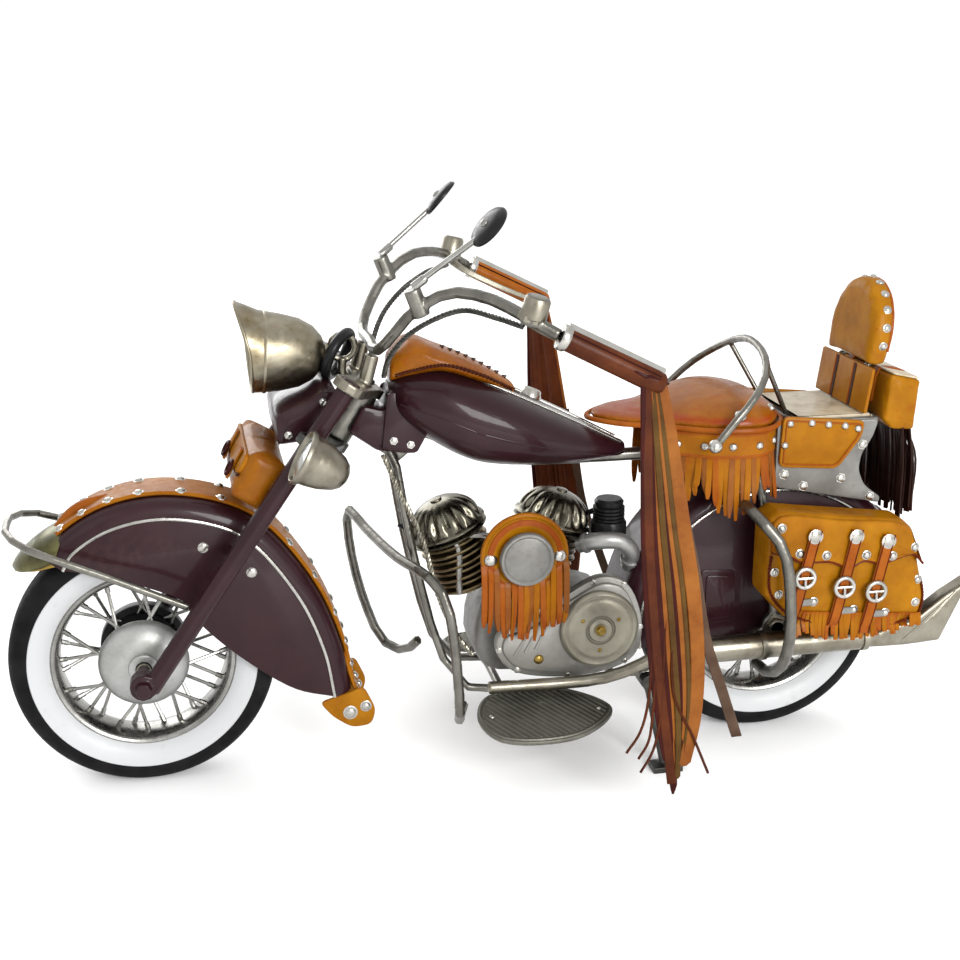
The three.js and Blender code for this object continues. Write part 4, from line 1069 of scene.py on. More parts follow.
def footboards():
    """Leaf-shaped boards with raised diagonal ribs."""
    tips = [(-1, 0), (-0.75, -0.9), (0.35, -1), (1, 0), (0.35, 1), (-0.75, 0.9)]
    outline = flat_curve([(u * BOARD_REACH, v * BOARD_DEPTH) for u, v in tips], 60, closed=True)
    field = inset(outline, 2.2)
    for name, side in SIDES:
        def place(u, v, w, side=side):
            return at(164 + u, side * 42 + v, 29.1 + w - side * BOARD_SLOPE * v)

        shape = Shape().add(plate(outline, place, 1.8, 0.4))
        shape.add(swept([place(u, v, 1.8) for u, v in inset(outline, 1.3)], circle(0.6, 6), closed=True))
        for k in range(-15, 16):
            crossing = []
            for i, (u, v) in enumerate(field):
                a, b = field[i - 1]
                first, second = a + b * 0.7 - k * RIB_PITCH, u + v * 0.7 - k * RIB_PITCH
                if first * second < 0:
                    share = first / (first - second)
                    crossing.append((a + (u - a) * share, b + (v - b) * share))
            if len(crossing) == 2:
                shape.add(swept([place(*c, 1.8) for c in crossing], circle(0.65, 6)))
        shape.add(swept([at(163, side * 20.5, 31), at(163, side * 35, 30.6)], circle(2.2, 14)))
        for u in (-23, 23):
            shape.add(rivet(place(u, 0, 1.8), Z, 1.3, 0.9), 1)
        shape.build(f"footboard_{name}_ribbed", "frame", "iron", WORN, SILVER,
                    replaces=(f"footboard_{name}",))


# ---- tank -----------------------------------------------------------------------------------------------

TANK = [(105, 159, 167, 7), (110, 152, 171, 16), (124, 141, 173.5, 23), (141, 132.5, 168.5, 26),
        (165, 130, 157.5, 25), (188, 130, 146, 18.5), (202, 131, 138.5, 10), (207, 132.5, 136, 4)]


def stations(rows, count):
    """Smooth values between rows of (x, underside, top, half width)."""
    first = curve([(x, low, high) for x, low, high, _ in rows], count)
    second = curve([(x, w, 0) for x, _, _, w in rows], count)
    return [(a.x, a.y, a.z, b.y) for a, b in zip(first, second)]


def oval(x, low, high, half_width, count=48, fullness=2.4):
    """A ring across the machine, squarer than an ellipse when fullness is above 2."""
    ring = []
    for angle in turns(count):
        c, s = math.cos(angle), math.sin(angle)
        across = half_width * math.copysign(abs(c) ** (2 / fullness), c)
        up = (low + high) / 2 + (high - low) / 2 * math.copysign(abs(s) ** (2 / fullness), s)
        ring.append(at(x, across, up))
    return ring


def tank():
    """The painted tank with its seams, two bright strips on top and the filler cap."""
    rows = stations(TANK, 56)
    shape = Shape().add(lofted([oval(*row) for row in rows]))
    for side in (-1, 1):
        strip = [at(x, side * (2.6 + 0.25 * w), high + 0.15 - 0.02 * w)
                 for x, _, high, w in rows if 131 < x < 205]
        shape.add(swept(strip, band(2.2, 1.4, 0.5), side=Y), 1)
        seam = [at(x, side * (w * 0.985 + 0.1), (low + high) / 2 - 2) for x, low, high, w in rows if x > 108]
        shape.add(swept(seam, circle(0.45, 6)))
    cap = at(168, 9, 155.6)
    tilt = Vector((0.45, 0.25, 1))
    profile = [(4.6, -2), (4.8, 0.8), (4.2, 1.8), (4.2, 2.6), (3.4, 3.4), (0, 3.7)]
    shape.add(revolved(profile, cap, tilt, 32), 1)
    shape.build("fuel_tank_shell", "frame", "paint", PAINT, SILVER, sharp=60, replaces=("fuel_tank",))


def tank_pad():
    """The leather pad over the tank's front, with a braided edge and a laced seam."""
    rows = [(105.5, 167, 177.4, 9.5), (113, 170, 185, 14.3), (126, 172.5, 180.4, 16.8),
            (142, 167.4, 173.2, 15.2), (158, 158.5, 163.4, 7)]
    shape = Shape().add(lofted([oval(*row, count=32, fullness=3) for row in stations(rows, 30)]))
    piece = cushion("tank_pad", "frame", SADDLE, voxel=0.9, cap=0.7, shape=shape)
    find = surface_of(piece)
    trim = Shape()
    for side in (-1, 1):
        edge = []
        for x, low, _, _ in stations(rows, 30)[2:]:
            place, _ = find(at(x, side * 40, low + 3.4), -Y * side)
            edge.append(place)
        braid(trim, edge, 0.75, 1.6)
    for k in range(9):
        x = 128 + 3.3 * k
        place, _ = find(at(x, 0, 220), -Z)
        stitch = [place + Vector(step) * MM for step in ((0, -2.2, 0.1), (1, 0, 0.4), (0, 2.2, 0.1))]
        trim.add(swept(stitch, circle(0.4, 6)), 1)
    trim.build("tank_pad_stitching", "frame", "tan_leather", BROWN, OXBLOOD)


def braid(shape, path, radius, pitch, paint=0, strands=2):
    """A twisted cord along a path. radius is the cord's, and pitch spaces the steps of its twist."""
    line = curve(path, max(12, int(length(path) / MM / pitch * 6)))
    for strand in range(strands):
        across = None
        points = []
        for i, point in enumerate(line):
            before, after = line[max(i - 1, 0)], line[min(i + 1, len(line) - 1)]
            along = (after - before).normalized()
            across = across or along.orthogonal()
            across = (across - along * across.dot(along)).normalized()
            angle = 2 * math.pi * (i / 12 + strand / strands)
            away = across * math.cos(angle) + along.cross(across) * math.sin(angle)
            points.append(point + away * radius * 0.55 * MM)
        shape.add(swept(points, circle(radius * 0.62, 6)), paint)


# ---- saddle ----------------------------------------------------------------------------------------------

def saddle_outline(scale, count=56):
    """The saddle seen from above, scaled about a point under the rider."""
    half = [(191, 0), (200, -14), (216, -22), (238, -35), (258, -36), (270, -22), (273, 0)]
    points = half + [(x, -y) for x, y in reversed(half[1:-1])]
    ring = flat_curve(points, count, closed=True)
    return [(235 + (p.x - 235) * scale, p.y * scale) for p in ring]


def saddle_top(x, y):
    """The height of the seat, which rises towards its back."""
    rise = max(0, math.sin(math.pi * (min(max(x, 205), 285) - 205) / 90)) ** 2
    return 150 + 9 * rise - 0.0028 * y * y


def saddle():
    """The padded seat, from levels of (scale, height, share of the rise to the seat), with its welt."""
    levels = [(0.8, 146.6, 0), (0.93, 146.8, 0), (0.98, 148, 0.04), (0.985, 149.2, 0.12), (0.95, 150.2, 0.4),
              (0.86, 150.2, 0.75), (0.7, 150.2, 0.92), (0.45, 150.2, 1), (0.2, 150.2, 1)]
    rings = []
    for scale, base, rise in levels:
        rings.append([at(x, y, base + max(saddle_top(x, y) - base, 0) * rise)
                      for x, y in saddle_outline(scale)])
    piece = cushion("saddle", "frame", SADDLE, voxel=1.1, cap=0.7, shape=Shape().add(lofted(rings)))
    trim = Shape()
    welt = [at(x, y, 147.5) for x, y in saddle_outline(1.0, 90)]
    trim.add(swept(welt, circle(1.15, 8), closed=True))
    find = surface_of(piece)
    for side in (-1, 1):
        for x, y, size in ((266, 21, 2.0), (247.5, 33.5, 2.6)):
            place, normal = find(at(x, side * y, 200), -Z)
            trim.add(rivet(place, normal, size, 0.6 * size), 1)
    trim.build("saddle_welt_and_studs", "frame", "tan_leather", ORANGE, SILVER)


def saddle_skirt():
    """The skirt band with its studs, and a fringe whose lower ends zigzag."""
    path = [at(x, y, 141) for x, y in saddle_outline(0.945, 120) if x > 219]
    shape = Shape().add(swept(path, band(1.8, 10.4, 0.5), side=along_path(path, 0)[1]))
    for height in (136.2, 145.4):
        shape.add(swept([Vector((p.x, p.y, height * MM)) for p in path], circle(1.15, 8)), 2)
    total = length(path)
    count = 14
    for i in range(count):
        spot, outward = along_path(path, total * (i + 0.5) / count)
        shape.add(rivet(spot + (outward * 0.8 - Z * 0.6) * MM, outward, 1.8, 1.3), 1)
    shape.fasten(rivet, ((234, 143),), 42.2, 1, 3.0, 2.6)
    shape.build("saddle_skirt_band", "frame", "tan_leather", TAN, SILVER, ORANGE, replaces=("saddle_skirt",))

    draw = random.Random(5)
    fringe = Shape()
    strips = 70
    for i in range(strips):
        share = (i + 0.5) / strips
        spot, outward = along_path(path, total * share)
        if spot.x > at(266, 0, 0).x:
            continue
        top = Vector((spot.x, spot.y, 136.4 * MM))
        behind = (spot.x - at(232, 0, 0).x) / MM / 27
        notch = (abs(behind % 1 - 0.5) * 2) ** 1.3
        bottom = 108 + 15 * notch + draw.uniform(-1.2, 1.2)
        sway = Vector((draw.uniform(-1.4, 1.4), 0, 0)) * MM
        out = outward * draw.uniform(0.2, 1.6) * MM
        line = curve([top, top + out + sway * 0.3 - Z * 10 * MM,
                      Vector((top.x, top.y, bottom * MM)) + out * 1.4 + sway], 8)
        twist = draw.uniform(-0.7, 0.7)
        strip = swept(line, band(2.7, 0.8, 0.25), side=outward.cross(Z), turn=lambda s: twist * s * s,
                      grow=pointed(0.85, 3.6))
        fringe.add(strip, draw.choice((0, 0, 1, 2)))
    fringe.build("saddle_fringe", "frame", "tan_leather", TAN, ORANGE, TOBACCO)


# ---- luggage ---------------------------------------------------------------------------------------------

def carrier():
    """The deck with its cream plate, and the waisted bracket plates with their bolts."""
    shape = Shape()
    deck = rounded([(274.5, -25.8), (313.5, -25.8), (313.5, 25.8), (274.5, 25.8)], 2)
    shape.add(plate(deck, lambda u, v, w: at(u, v, 145.2 + w), 2.2, 0.5))
    shape.add(plate(rounded(inset(deck, 3), 3), lambda u, v, w: at(u, v, 147.2 + w), 1.5, 0.5), 2)
    outline = rounded([(267, 147), (267, 119), (290, 114.6), (315.5, 109.4), (316, 112), (308, 118),
                       (305, 125), (306, 132), (310.5, 139), (313, 147)], 2.5)
    out = 24.6
    for side in (-1, 1):
        shape.add(plate(outline, upright(side, out), 2.2, 0.6))
    spots = ((271, 124.6), (297, 121.6), (306, 136), (280, 119), (311, 112.6))
    shape.fasten(bolt, spots, out + 1.9, 1, 1.7, 1.5)
    shape.build("rear_carrier_plates", "frame", "casting", CASTING, SILVER, CREAM, replaces=("rear_carrier",))


def side_panel(name, side):
    """A slightly crowned leather panel with a groove inside its edge and a row of rivets."""
    outline = rounded([(267.5, 128.5), (294, 126.5), (304.5, 140.5), (305.2, 146.4), (303, 147.4),
                       (268.5, 150.6)], 3)

    def place(u, v, w):
        along = math.sin(math.pi * (u - 271) / 36)
        up = math.sin(math.pi * min(max((v - 126) / 23, 0), 1))
        crown = max(0.7 * along * up, 0)
        return at(u, side * (27.3 + w + crown * (w > 1)), v)

    shape = Shape().add(plate(outline, place, 1.9, 0.5))
    groove = inset(outline, 1.6)
    shape.add(swept([place(u, v, 2.0) for u, v in groove], circle(0.4, 6), closed=True), 2)
    for x, z in ((271.6, 147.4), (281.2, 147.2), (288.7, 146.2), (296.2, 145.3), (302.2, 143.8),
                 (269.6, 138)):
        shape.add(rivet(place(x, z, 1.7), Y * side, 1.7, 1.2), 1)
    shape.build(f"side_panel_{name}_leather", "frame", "tan_leather", TAN, SILVER, ORANGE,
                replaces=(f"side_panel_{name}",))


def buckle(shape, centre, outward, paint):
    """A round ring buckle with its bar and tongue, lying on a strap."""
    radius = 4.1
    along = outward.cross(X).normalized()
    across = outward.cross(along)
    ring = [centre + (across * math.cos(a) + along * math.sin(a)) * radius * MM for a in turns(28)]
    shape.add(swept(ring, circle(1.0, 10), closed=True), paint)
    shape.add(swept([centre - across * radius * MM, centre + across * radius * MM], circle(0.7, 8)), paint)
    shape.add(swept([centre, centre + (outward * 0.9 - along * radius) * MM], circle(0.6, 8)), paint)


# For each strap: its top as (u, v), how far it drops, and how far down its buckle lies.
STRAPS = ((277.5, 103.8, 41, 19), (296, 102.8, 44, 23), (310.6, 99.8, 44, 22.5))


def saddlebag(name, side):
    """A stuffed bag with its flap, three buckled straps, studs, a braided seam and a fringe."""
    piece = cushion(f"saddlebag_{name}", "frame", TAN, voxel=1.1, cap=0.6)
    find = surface_of(piece)
    outward = Y * side

    def face(u, v, proud=0.0):
        """A point on the bag's outer face: u behind the front axle, v up, and proud of the leather."""
        place, _ = find(at(u, side * 120, v), -outward)
        return Vector((at(u, 0, v).x, max(place.y * side, 43 * MM) * side, v * MM)) + outward * proud * MM

    shape = Shape()
    top = [(259, 109.6), (262.6, 112.4), (290, 109.2), (317.5, 105.8), (322, 102.4)]
    low = [(327.4, 88), (323, 92.2), (308, 89.4), (300, 91), (294, 88.4), (285, 91.6), (272, 92.4),
           (266, 95.4), (259, 97)]
    flap = flat_curve(top, 16) + flat_curve(low, 44)
    shape.add(plate(flap, lambda u, v, w: face(u, v, w - 0.2), 2.0, 0.5))
    hem = curve([face(u, v, 1.5) for u, v in low], 60)
    shape.add(swept(hem, circle(0.55, 8)), 3)
    for u, v in ((262.4, 107.8), (262.6, 99), (271, 96.2), (283, 94.6), (301, 93.6), (313, 92.4),
                 (323.4, 95.2)):
        shape.add(stud(face(u, v, 1.6), outward, 1.6), 2)
    for u, v in ((261, 88), (263.4, 78), (326.5, 80), (326, 70)):
        shape.add(stud(face(u, v, 0.1), outward, 1.5), 2)
    steps = 16
    for u, v, drop, buckle_drop in STRAPS:
        shares = [i / steps for i in range(steps + 1)]
        path = [face(u - 8.5 * t, v + 2.5 - drop * t, 2.6 - 0.8 * t) for t in shares]
        shape.add(swept(path, band(5.0, 1.3, 0.35), side=X), 1)
        for w in (-1, 1):
            edge = [p + Vector((w * 2.1, side * 0.7, 0)) * MM for p in path]
            shape.add(swept(edge, circle(0.28, 6)), 3)
        shape.add(stud(path[1] + outward * 0.5 * MM, outward, 2.5, 0.9), 2)
        k = round(steps * (buckle_drop + 2.5) / drop)
        buckle(shape, path[k] + outward * 1.3 * MM, outward, 2)
        for t in (7, 13):
            spot = face(u - 4 + t - 7.5, v - buckle_drop - 11, 0.4)
            shape.add(stud(spot, outward, 1.6), 2)
        loop = [face(u - 4.5 + t, v - buckle_drop - 11, 0.6) for t in (0, 3, 6)]
        shape.add(swept(loop, band(1.4, 3.0, 0.3), side=outward), 4)
    rim = ((259.4, 95), (259.4, 80), (268, 69), (298, 60.8), (327, 63.6), (329.6, 72), (327, 86))
    seam = curve([face(u, v, 0.3) for u, v in rim], 70)
    braid(shape, seam[::6], 0.6, 2.0, paint=3)
    draw = random.Random(21)
    strips = 34
    for i in range(strips):
        u = 268 + 60 * i / (strips - 1)
        high = 70.5 - 0.09 * (u - 268)
        deep = 55.4 + 0.12 * abs(u - 300) + draw.uniform(-1, 2.2)
        sway = draw.uniform(-1.2, 1.2)
        end = at(u + sway, side * (46.6 + draw.uniform(0, 1.4)), deep)
        line = curve([face(u, high, 0.8), face(u + sway * 0.4, high - 5, 1.2), end], 7)
        strip = swept(line, band(1.9, 0.7, 0.2), side=X, turn=lambda s: 0.5 * sway * s)
        shape.add(strip, draw.choice((0, 0, 1)))
    shape.build(f"saddlebag_{name}_flap_and_straps", "frame", "tan_leather",
                TAN, ORANGE, SILVER, BURNT, CASTING)


BACKREST_HEIGHT = 181.5
BACKREST_LEAN = 0.14


def backrest():
    """The domed backrest with piping and studs round its edge."""
    piece = cushion("backrest", "frame", TAN, voxel=1.0, cap=0.7)
    find = surface_of(piece)
    shape = Shape()

    def rim(angle, x_shift, proud=0.0):
        """A point on the edge of the dome, and the direction in which it faces."""
        outward = Vector((0, math.cos(angle), math.sin(angle)))
        up = BACKREST_HEIGHT + 22 * math.sin(angle)
        x = 310.5 + x_shift + BACKREST_LEAN * (up - 169.2)
        place, _ = find(at(x, 0, BACKREST_HEIGHT) + outward * 0.06, -outward)
        return place + outward * proud * MM, outward

    edge = [rim(math.pi * (-0.1 + 1.2 * i / 40), 5.6)[0] for i in range(41)]
    shape.add(swept(edge, circle(0.8, 8)))
    for i in range(11):
        place, outward = rim(math.pi * (-0.06 + 1.12 * i / 10), 2.8)
        shape.add(stud(place, outward, 1.45, 1.0), 1)
    shape.build("backrest_piping_and_studs", "frame", "tan_leather", ORANGE, SILVER)


def rear_bag():
    """A boxy roll bag behind the sissy bar, the panel that hangs before it, and its long dark hair."""
    box = Shape()
    outline = rounded([(314.8, 146), (316.7, 166.4), (330.4, 163.4), (329, 141.4), (319, 141.9)], 1)
    box.add(plate(outline, upright(1, -27.8), 55.6, 0.8))
    piece = cushion("rear_bag", "frame", TAN, voxel=0.8, cap=0.35, shape=box)
    find = surface_of(piece)
    shape = Shape()
    for side in (-1, 1):
        path = []
        for i in range(21):
            angle = math.pi * (-0.42 + 1.5 * i / 20)
            away = Vector((math.cos(angle), 0, math.sin(angle)))
            place, _ = find(at(322.5, side * 13, 154) + away * 0.05, -away)
            path.append(place + away * 0.7 * MM)
        shape.add(swept(path, band(4.6, 1.2, 0.35), side=Y), 1)
        shape.add(stud(path[7] + Z * 0.6 * MM, Z, 1.6), 2)
    lid = rounded([(317.6, -27), (330, -27), (330, 27), (317.6, 27)], 2)
    shape.add(plate(lid, lambda u, v, w: at(u, v, 166.3 + w - 0.22 * (u - 317)), 0.9, 0.3), 4)
    cover = rounded([(-25.6, 149.2), (-25.6, 168.4), (25.6, 168.4), (25.6, 149.2)], 1)

    def place_cover(u, v, w):
        return at(307.6 - w + 0.14 * (v - 150), u, v)

    shape.add(plate(cover, place_cover, 1.6, 0.4))
    for y in (-10, 8):
        shape.add(swept([place_cover(y, z, 1.6) for z in (149.6, 159, 168)], band(1.7, 0.5, 0.1), side=Y), 5)
        shape.add(swept([place_cover(y + 1.6, z, 1.5) for z in (149.6, 159, 168)], circle(0.6, 6)), 1)
    draw = random.Random(8)
    strips = 40
    for layer in range(2):
        for i in range(strips):
            y = -26 + 52 * i / (strips - 1) + draw.uniform(-0.5, 0.5)
            x = 324.4 + 3.6 * layer + draw.uniform(-0.3, 0.3)
            deep = 100.5 + draw.uniform(0, 8)
            sway = draw.uniform(-1.6, 1.6)
            back = draw.uniform(0, 2.5) + 4 * (draw.random() > 0.9)
            line = routed([(x - 1, y, 144), (x + 0.5 + back, y + sway * 0.3, 128),
                           (x + 1 + back, y + sway, deep)], 9)
            shape.add(swept(line, band(2.4, 0.8, 0.25), side=Y, turn=lambda s: 0.4 * sway * s), 5)
    shape.build("rear_bag_straps_and_fringe", "frame", "tan_leather", TAN, ORANGE, SILVER, BURNT, CREAM, DARK)


def tool_bag():
    """The small bag on the fork, with its scalloped flap, two straps and their rings."""
    piece = cushion("tool_bag", "steering", TOOL_HIDE, voxel=1.1, cap=0.9)
    find = surface_of(piece)
    towards = Vector((0.868, 0, -0.496))
    up = Vector((0.496, 0, 0.868))
    corner = at(39.6, 0, 131.8)

    def face(u, v, proud=0.0):
        """A point on the bag's front face: u across the bag, v up the face, and proud of the leather."""
        origin = corner + Y * u * MM + up * v * MM
        place, _ = find(origin - towards * 0.03, towards)
        depth = min(max((place - origin).dot(towards), -0.001), 0.0025)
        return origin + towards * (depth - proud * MM)

    shape = Shape()
    flap = [(-27, 15), (27, 15), (27, 6), (12, 5), (0, 2.6), (-12, 5), (-27, 6)]
    shape.add(plate(rounded(flap, 3), lambda u, v, w: face(u, v, w - 0.2), 1.6, 0.5))
    hem = curve([face(u, v, 1.1) for u, v in flap[2:]], 40)
    shape.add(swept(hem, circle(0.7, 8)), 1)
    for u in (-15, 15):
        strap = [face(u, 14 - 13.5 * i / 8, 2.0) for i in range(9)]
        shape.add(swept(strap, band(4.6, 1.1, 0.3), side=Y), 0)
        ring = [face(u + 3.2 * math.cos(a), 4.6 + 2.9 * math.sin(a), 3.0) for a in turns(24)]
        shape.add(swept(ring, circle(0.8, 8), closed=True), 1)
    shape.build("tool_bag_flap_and_loops", "steering", "tan_leather", TAN, OXBLOOD)


# ---- handlebar, lamps and cables --------------------------------------------------------------------------

BAR_END = 90


def grips():
    """Leather wrapped grips with a bright strip on top, two seams and a collar."""
    profile = [(0, 0), (3.7, 0), (4.1, 0.6), (4.3, 2), (4.4, 20), (4.5, 38), (4.2, 41), (3.2, 42.2),
               (0, 42.2)]
    for name, side in SIDES:
        start, end = Vector((156, side * (BAR_END - 3), 200.5)), Vector((194, side * BAR_END, 181.5))
        begin = at(*(start + (end - start).normalized() * 1.3))
        axis = (at(*end) - begin).normalized()
        shape = Shape().add(revolved(profile, begin, axis, 32))
        across = (Z - axis * Z.dot(axis)).normalized()
        top = [begin + (axis * d + across * 4.4) * MM for d in (0.5, 12, 26, 40.5)]
        shape.add(swept(top, band(3.6, 1.3, 0.4)), 1)
        for turn in (-0.9, 0.9):
            out = across * math.cos(turn) + axis.cross(across) * math.sin(turn)
            shape.add(swept([begin + (axis * d + out * 4.4) * MM for d in (1.5, 20, 39)], circle(0.35, 6)), 2)
        collar = [(4.7, 0), (5.0, 0.6), (5.0, 2.6), (4.6, 3.2)]
        shape.add(revolved(collar, begin - axis * MM, axis, 32), 1)
        skin = BROWN if name == "left" else ORANGE
        shape.build(f"grip_{name}_wrapped", "steering", "tan_leather", skin, SILVER, OXBLOOD,
                    replaces=(f"grip_{name}",))


FRINGE_FRONT = [(186.6, 182), (187, 158), (187.4, 130), (189.4, 98), (193, 65), (197.6, 40), (202, 18)]
FRINGE_BACK = [(193.5, 181), (198.5, 162), (203.5, 137), (210.5, 103), (213.6, 76), (213.4, 50), (209, 30)]
# For each strip: its place from the front (0) to the back (1), its width, its leather and its lowest height.
FRINGE_STRIPS = ((0.05, 3.0, 2, 27), (0.15, 3.8, 0, 20), (0.27, 3.0, 2, 15), (0.37, 2.2, 1, 18),
                 (0.46, 2.4, 3, 22), (0.55, 2.0, 2, 31), (0.63, 2.4, 1, 38), (0.71, 2.0, 3, 33),
                 (0.90, 5.8, 1, 27))
# For each lace: where it leaves the strips, and its end, as (x, z).
LACES = (((192, 56), (184, 35)), ((194, 50), (189, 32)), ((197, 48), (190, 26)), ((202, 60), (218, 23)))


def grip_fringe(name, side):
    """Long strips from the bar end, a lighter one behind them, thin laces, and the knot at the top."""
    draw = random.Random(31 + side)
    y = side * (BAR_END + 1.8)
    front = flat_curve(FRINGE_FRONT, 24)
    back = flat_curve(FRINGE_BACK, 24)
    shape = Shape()

    def hang(share, wide, paint, lowest, out):
        points = []
        for a, b in zip(front, back):
            p = a.lerp(b, share)
            if p.y < lowest:
                break
            points.append(at(p.x, y + out * min(1, (184 - p.y) / 40), p.y))
        points.append(at(p.x, y + out, lowest))
        line = curve(points[::3] + points[-1:], 26)
        twist, phase = draw.uniform(-1, 1), draw.uniform(0, 1)
        shape.add(swept(line, band(wide, 0.9, 0.3), side=X, grow=pointed(0.93, 9.75),
                        turn=lambda s: twist * (0.3 * math.sin(4 * s + 5 * phase) + 0.4 * s * s)), paint)

    for share, wide, paint, lowest in FRINGE_STRIPS:
        hang(share, wide, paint, lowest, side * draw.uniform(0.2, 1.6))
        inner_end = lowest + draw.uniform(0, 14)
        hang(min(share + 0.06, 0.86), wide * 0.8, 0, inner_end, -side * draw.uniform(0.6, 1.8))
    suede = routed([(205, y - side, 128), (209.5, y - side, 109), (215, y, 80), (222.5, y, 58),
                    (230, y - side, 37)], 24)
    shape.add(swept(suede, band(4.2, 1.0, 0.3), side=X, turn=lambda s: 0.5 * s * s), 4)
    for (x, z), (x_low, low) in LACES:
        lace = routed([(x + 1.5, y, z + 50), (x, y + side * 1.4, z),
                       ((x + x_low) / 2 + 1, y + side * 1.6, (z + low) / 2 - 2), (x_low, y + side, low)], 18)
        shape.add(swept(lace, circle(0.55, 6)))
    knot = [at(188.5 + 6.4 * math.sin(a), y - side * 1.4 + side * 2.2 * math.cos(a), 184.5 - 3 * math.sin(a))
            for a in turns(24)]
    shape.add(swept(knot, band(1.0, 4.4, 0.4), closed=True), 2)
    shape.build(f"grip_fringe_{name}_strips", "steering", "brown_leather",
                BROWN, TOBACCO, OXBLOOD, OLIVE_HIDE, SUEDE, replaces=(f"grip_fringe_{name}",))


def mirror(name, side):
    """A round mirror on its stalk."""
    y = side * 52
    head = at(137, y, 236)
    shape = Shape()
    shape.add(swept([at(110.5, side * 45, 214), at(132.6, y, 231.4)], circle(1.15, 12)))
    shape.add(revolved([(1.8, -2), (1.8, 3.5), (1.2, 4.4)], at(111, side * 45.2, 214),
                       Vector((22.1, side * 7, 17.4)), 20))
    facing = Vector((0.72, side * -0.15, -0.62))
    shell = [(0, -2.2), (2.4, -2.2), (5, -1.9), (8.2, -0.9), (9, 0.2), (8.9, 1.0), (8.2, 1.2), (7.9, 0.7),
             (0, 0.7)]
    shape.add(revolved(shell, head, facing, 40), 1)
    shape.add(revolved([(7.9, 0.65), (7.6, 0.95), (0, 1.0)], head, facing, 40))
    shape.add(rivet(head - facing * 1.9 * MM, -facing, 2.0, 1.6))
    shape.build(f"mirror_{name}_head", "steering", "chrome", CHROME, BLACK, replaces=(f"mirror_{name}",))


def controls(name, side):
    """Levers with their small clamps, and the braided control cable."""
    shape = Shape()
    cable = routed([(144.5, side * 78, 202.5), (137, side * 62, 203.5), (128, side * 46, 203.5),
                    (117, side * 37, 198), (108, side * 29, 190), (102.5, side * 22, 180),
                    (101, side * 19.5, 173)], 30)
    braid(shape, cable, 1.0, 2.6, strands=3)
    shape.build(f"control_cable_{name}_braided", "steering", "cable", IRON,
                replaces=(f"control_cable_{name}",))
    lever = Shape()
    reach = routed([(147, side * 79, 204), (152, side * 75, 200.5), (166, side * 73.5, 193.5),
                    (182, side * 75, 186.5)], 16)
    lever.add(swept(reach, band(1.6, 3.0, 0.5), side=Y, grow=lambda s: (1, 1.1 - 0.45 * s)))
    lever.add(rivet(reach[-1], Vector((1, 0, -0.4)), 1.7, 1.2))
    axis = Vector((2.5, side * 1.5, 10.5))
    cap = [(4.5, 2.5), (4.9, 3), (4.9, 9.6), (4.3, 10.6), (3.0, 10.9), (0, 11)]
    lever.add(revolved(cap, at(146.5, side * 82.5, 204), axis, 28))
    lever.add(revolved([(5.2, 0), (5.2, 2.2), (4.4, 2.8)], at(146.5, side * 82.5, 205.5), axis, 6))
    lever.build(f"brake_lever_{name}", "steering", "chrome", PEWTER)


def headlight():
    """A bullet shell whose mouth is drawn forwards into a visor at the top."""
    front = at(47, 0, 181.5)
    axis = Vector((1, 0, -0.05)).normalized()
    up = Vector((0.05, 0, 1)).normalized()
    outer = [(16.5, 0.0), (16.6, 2.5), (16.5, 6), (15.8, 14), (14, 22), (11, 27.6), (7, 31.2), (3, 32.8),
             (0.01, 33)]
    inner = [(15.2, 0.0), (15.2, 5), (14.4, 14), (12.6, 21), (8.6, 27), (0.01, 30)]

    def ring(radius, along, share):
        """share is 1 at the mouth and 0 where the visor ends."""
        points = []
        for angle in turns(72):
            lift = max(0, math.sin(angle)) ** 1.7
            r = radius + 4.3 * share * lift
            a = along - 4.4 * share * lift + 3.6 * share * (1 - math.sin(angle)) / 2
            points.append(front + (axis * a + (Y * math.cos(angle) + up * math.sin(angle)) * r) * MM)
        return points

    rings = [ring(r, a, max(0, 1 - a / 7)) for r, a in reversed(outer)]
    rings += [ring(r, a, max(0, 1 - a / 7)) for r, a in inner]
    shape = Shape().add(lofted(rings))
    shape.add(swept(ring(16.2, 0, 1), circle(0.75, 8), closed=True))
    shape.add(revolved([(16.7, 7.2), (16.95, 7.8), (16.8, 8.6)], front, axis, 72))
    shape.add(revolved([(3.6, -1), (3.6, 3), (2.4, 5.4), (0, 6)], front + axis * 31.5 * MM, axis, 28))
    shape.build("headlight_bowl", "steering", "pewter", LAMP, sharp=50, replaces=("headlight_shell",))
    lens = [(0, 6.4), (14.7, 6.4), (14.8, 5.4), (13.4, 4.2), (9, 3.0), (4, 2.5), (0, 2.4)]
    Shape().add(revolved(list(reversed(lens)), front, axis, 56)).build(
        "headlight_glass", "steering", "lens", GLASS, replaces=("headlight_lens",))


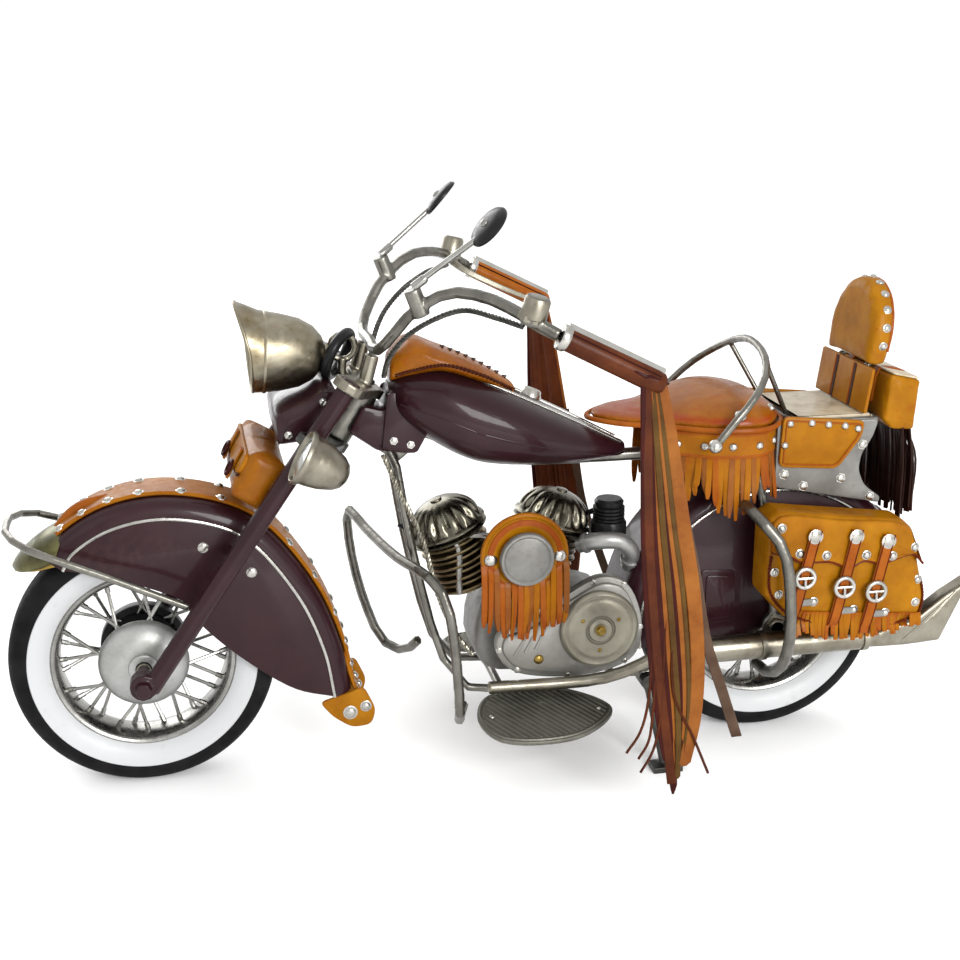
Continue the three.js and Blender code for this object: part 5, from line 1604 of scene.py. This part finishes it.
def fog_lamp(name, side):
    """A bell shaped lamp that looks ahead and up, on its bent stub."""
    tilt = 0.5
    aim = Vector((-math.cos(tilt), 0, math.sin(tilt)))
    mouth = at(65, side * 52, 150.5)
    bell = [(0, -19.2), (2.6, -19), (5, -17.8), (7, -15.2), (8.9, -10), (9.7, -5.4), (10.0, -2.6),
            (10.8, -1.6), (11.2, -0.6), (11.0, 0.4), (10.2, 0.8), (9.5, 0.2), (9.2, -1.2)]
    shape = Shape().add(revolved(bell, mouth, aim, 56))
    shape.add(revolved([(9.4, -1.4), (8.6, -0.4), (5, 0.4), (0, 0.7)], mouth, aim, 48), 1)
    back = mouth + aim * -12 * MM
    stub = curve([back, at(78, side * 47, 143.5), at(78.5, side * 41.4, 146)], 10)
    shape.add(swept(stub, circle(2.0, 14)))
    shape.add(revolved([(2.8, -1), (2.8, 1.6), (0, 1.8)], at(78.5, side * 42, 145.8), Y * side, 6))
    shape.build(f"fog_lamp_{name}_bell", "steering", "pewter", PEWTER, GLASS, replaces=(f"fog_lamp_{name}",))


def wiring():
    """The braided loom down the front of the frame."""
    loom = routed([(101, -14, 139), (108, -16, 122), (117, -16.5, 101), (122, -18.5, 80), (130, -19.5, 60),
                   (137, -19, 50)], 30)
    shape = Shape()
    braid(shape, loom, 1.05, 2.6, strands=3)
    shape.build("braided_loom", "frame", "cable", PEWTER, replaces=("wiring",))


# ---- stage ------------------------------------------------------------------------------------------------

# For each light: its place in metres, its size in metres and its power in watts.
LIGHTS = {"key": ((0.3, -1.05, 0.5), 0.5, 12.5), "fill": ((-0.9, -0.7, 0.9), 0.7, 1),
          "top": ((0.1, 0.3, 1.3), 0.9, 1), "back": ((-0.4, 1.1, 0.6), 0.8, 7)}
LIT_POINT = Vector((0, 0, 0.1))


def stage():
    """A pale floor under soft studio light, in a white world."""
    reach = 25
    corners = [(-reach, -reach, 0), (reach, -reach, 0), (reach, reach, 0), (-reach, reach, 0)]
    mesh = bpy.data.meshes.new("floor")
    mesh.from_pydata(corners, [], [(0, 1, 2, 3)])
    floor = bpy.data.objects.new("floor", mesh)
    bpy.context.scene.collection.objects.link(floor)
    f = Finish("pale_floor")
    mesh.materials.append(f.done(f.mix(f.noise(400, 2), rgb(253, 253, 253), rgb(255, 255, 255)), 1.0))

    world = bpy.data.worlds.new("studio")
    world.use_nodes = True
    background = world.node_tree.nodes["Background"]
    background.inputs["Color"].default_value = (1, 1, 1, 1)
    background.inputs["Strength"].default_value = 1.04
    bpy.context.scene.world = world
    bpy.context.scene.view_settings.view_transform = "Standard"
    for name, (place, size, power) in LIGHTS.items():
        data = bpy.data.lights.new(name, "AREA")
        data.size = size
        data.energy = power
        lamp = bpy.data.objects.new(name, data)
        lamp.location = place
        lamp.rotation_euler = (LIT_POINT - Vector(place)).to_track_quat("-Z", "Y").to_euler()
        bpy.context.scene.collection.objects.link(lamp)


CAMERA_PLACE = Vector((-131.05, -615.42, 306.52)) * MM
CAMERA_TARGET = Vector((-6.66, 0, 121.85)) * MM
FOCAL_LENGTH = 57.48
SENSOR_WIDTH = 36


def camera():
    """The camera, to the left, ahead of the middle and above."""
    data = bpy.data.cameras.new("camera")
    data.lens = FOCAL_LENGTH
    data.sensor_width = SENSOR_WIDTH
    lens = bpy.data.objects.new("camera", data)
    lens.location = CAMERA_PLACE
    lens.rotation_euler = (CAMERA_TARGET - CAMERA_PLACE).to_track_quat("-Z", "Y").to_euler()
    bpy.context.scene.collection.objects.link(lens)
    bpy.context.scene.camera = lens


camera()
stage()
wheels()
front_mudguard()
rear_mudguard()
tubes_and_castings()
engine()
exhaust()
footboards()
tank()
tank_pad()
saddle()
saddle_skirt()
carrier()
backrest()
rear_bag()
tool_bag()
grips()
headlight()
wiring()
for side_name, side_sign in SIDES:
    side_panel(side_name, side_sign)
    saddlebag(side_name, side_sign)
    grip_fringe(side_name, side_sign)
    mirror(side_name, side_sign)
    controls(side_name, side_sign)
    fog_lamp(side_name, side_sign)
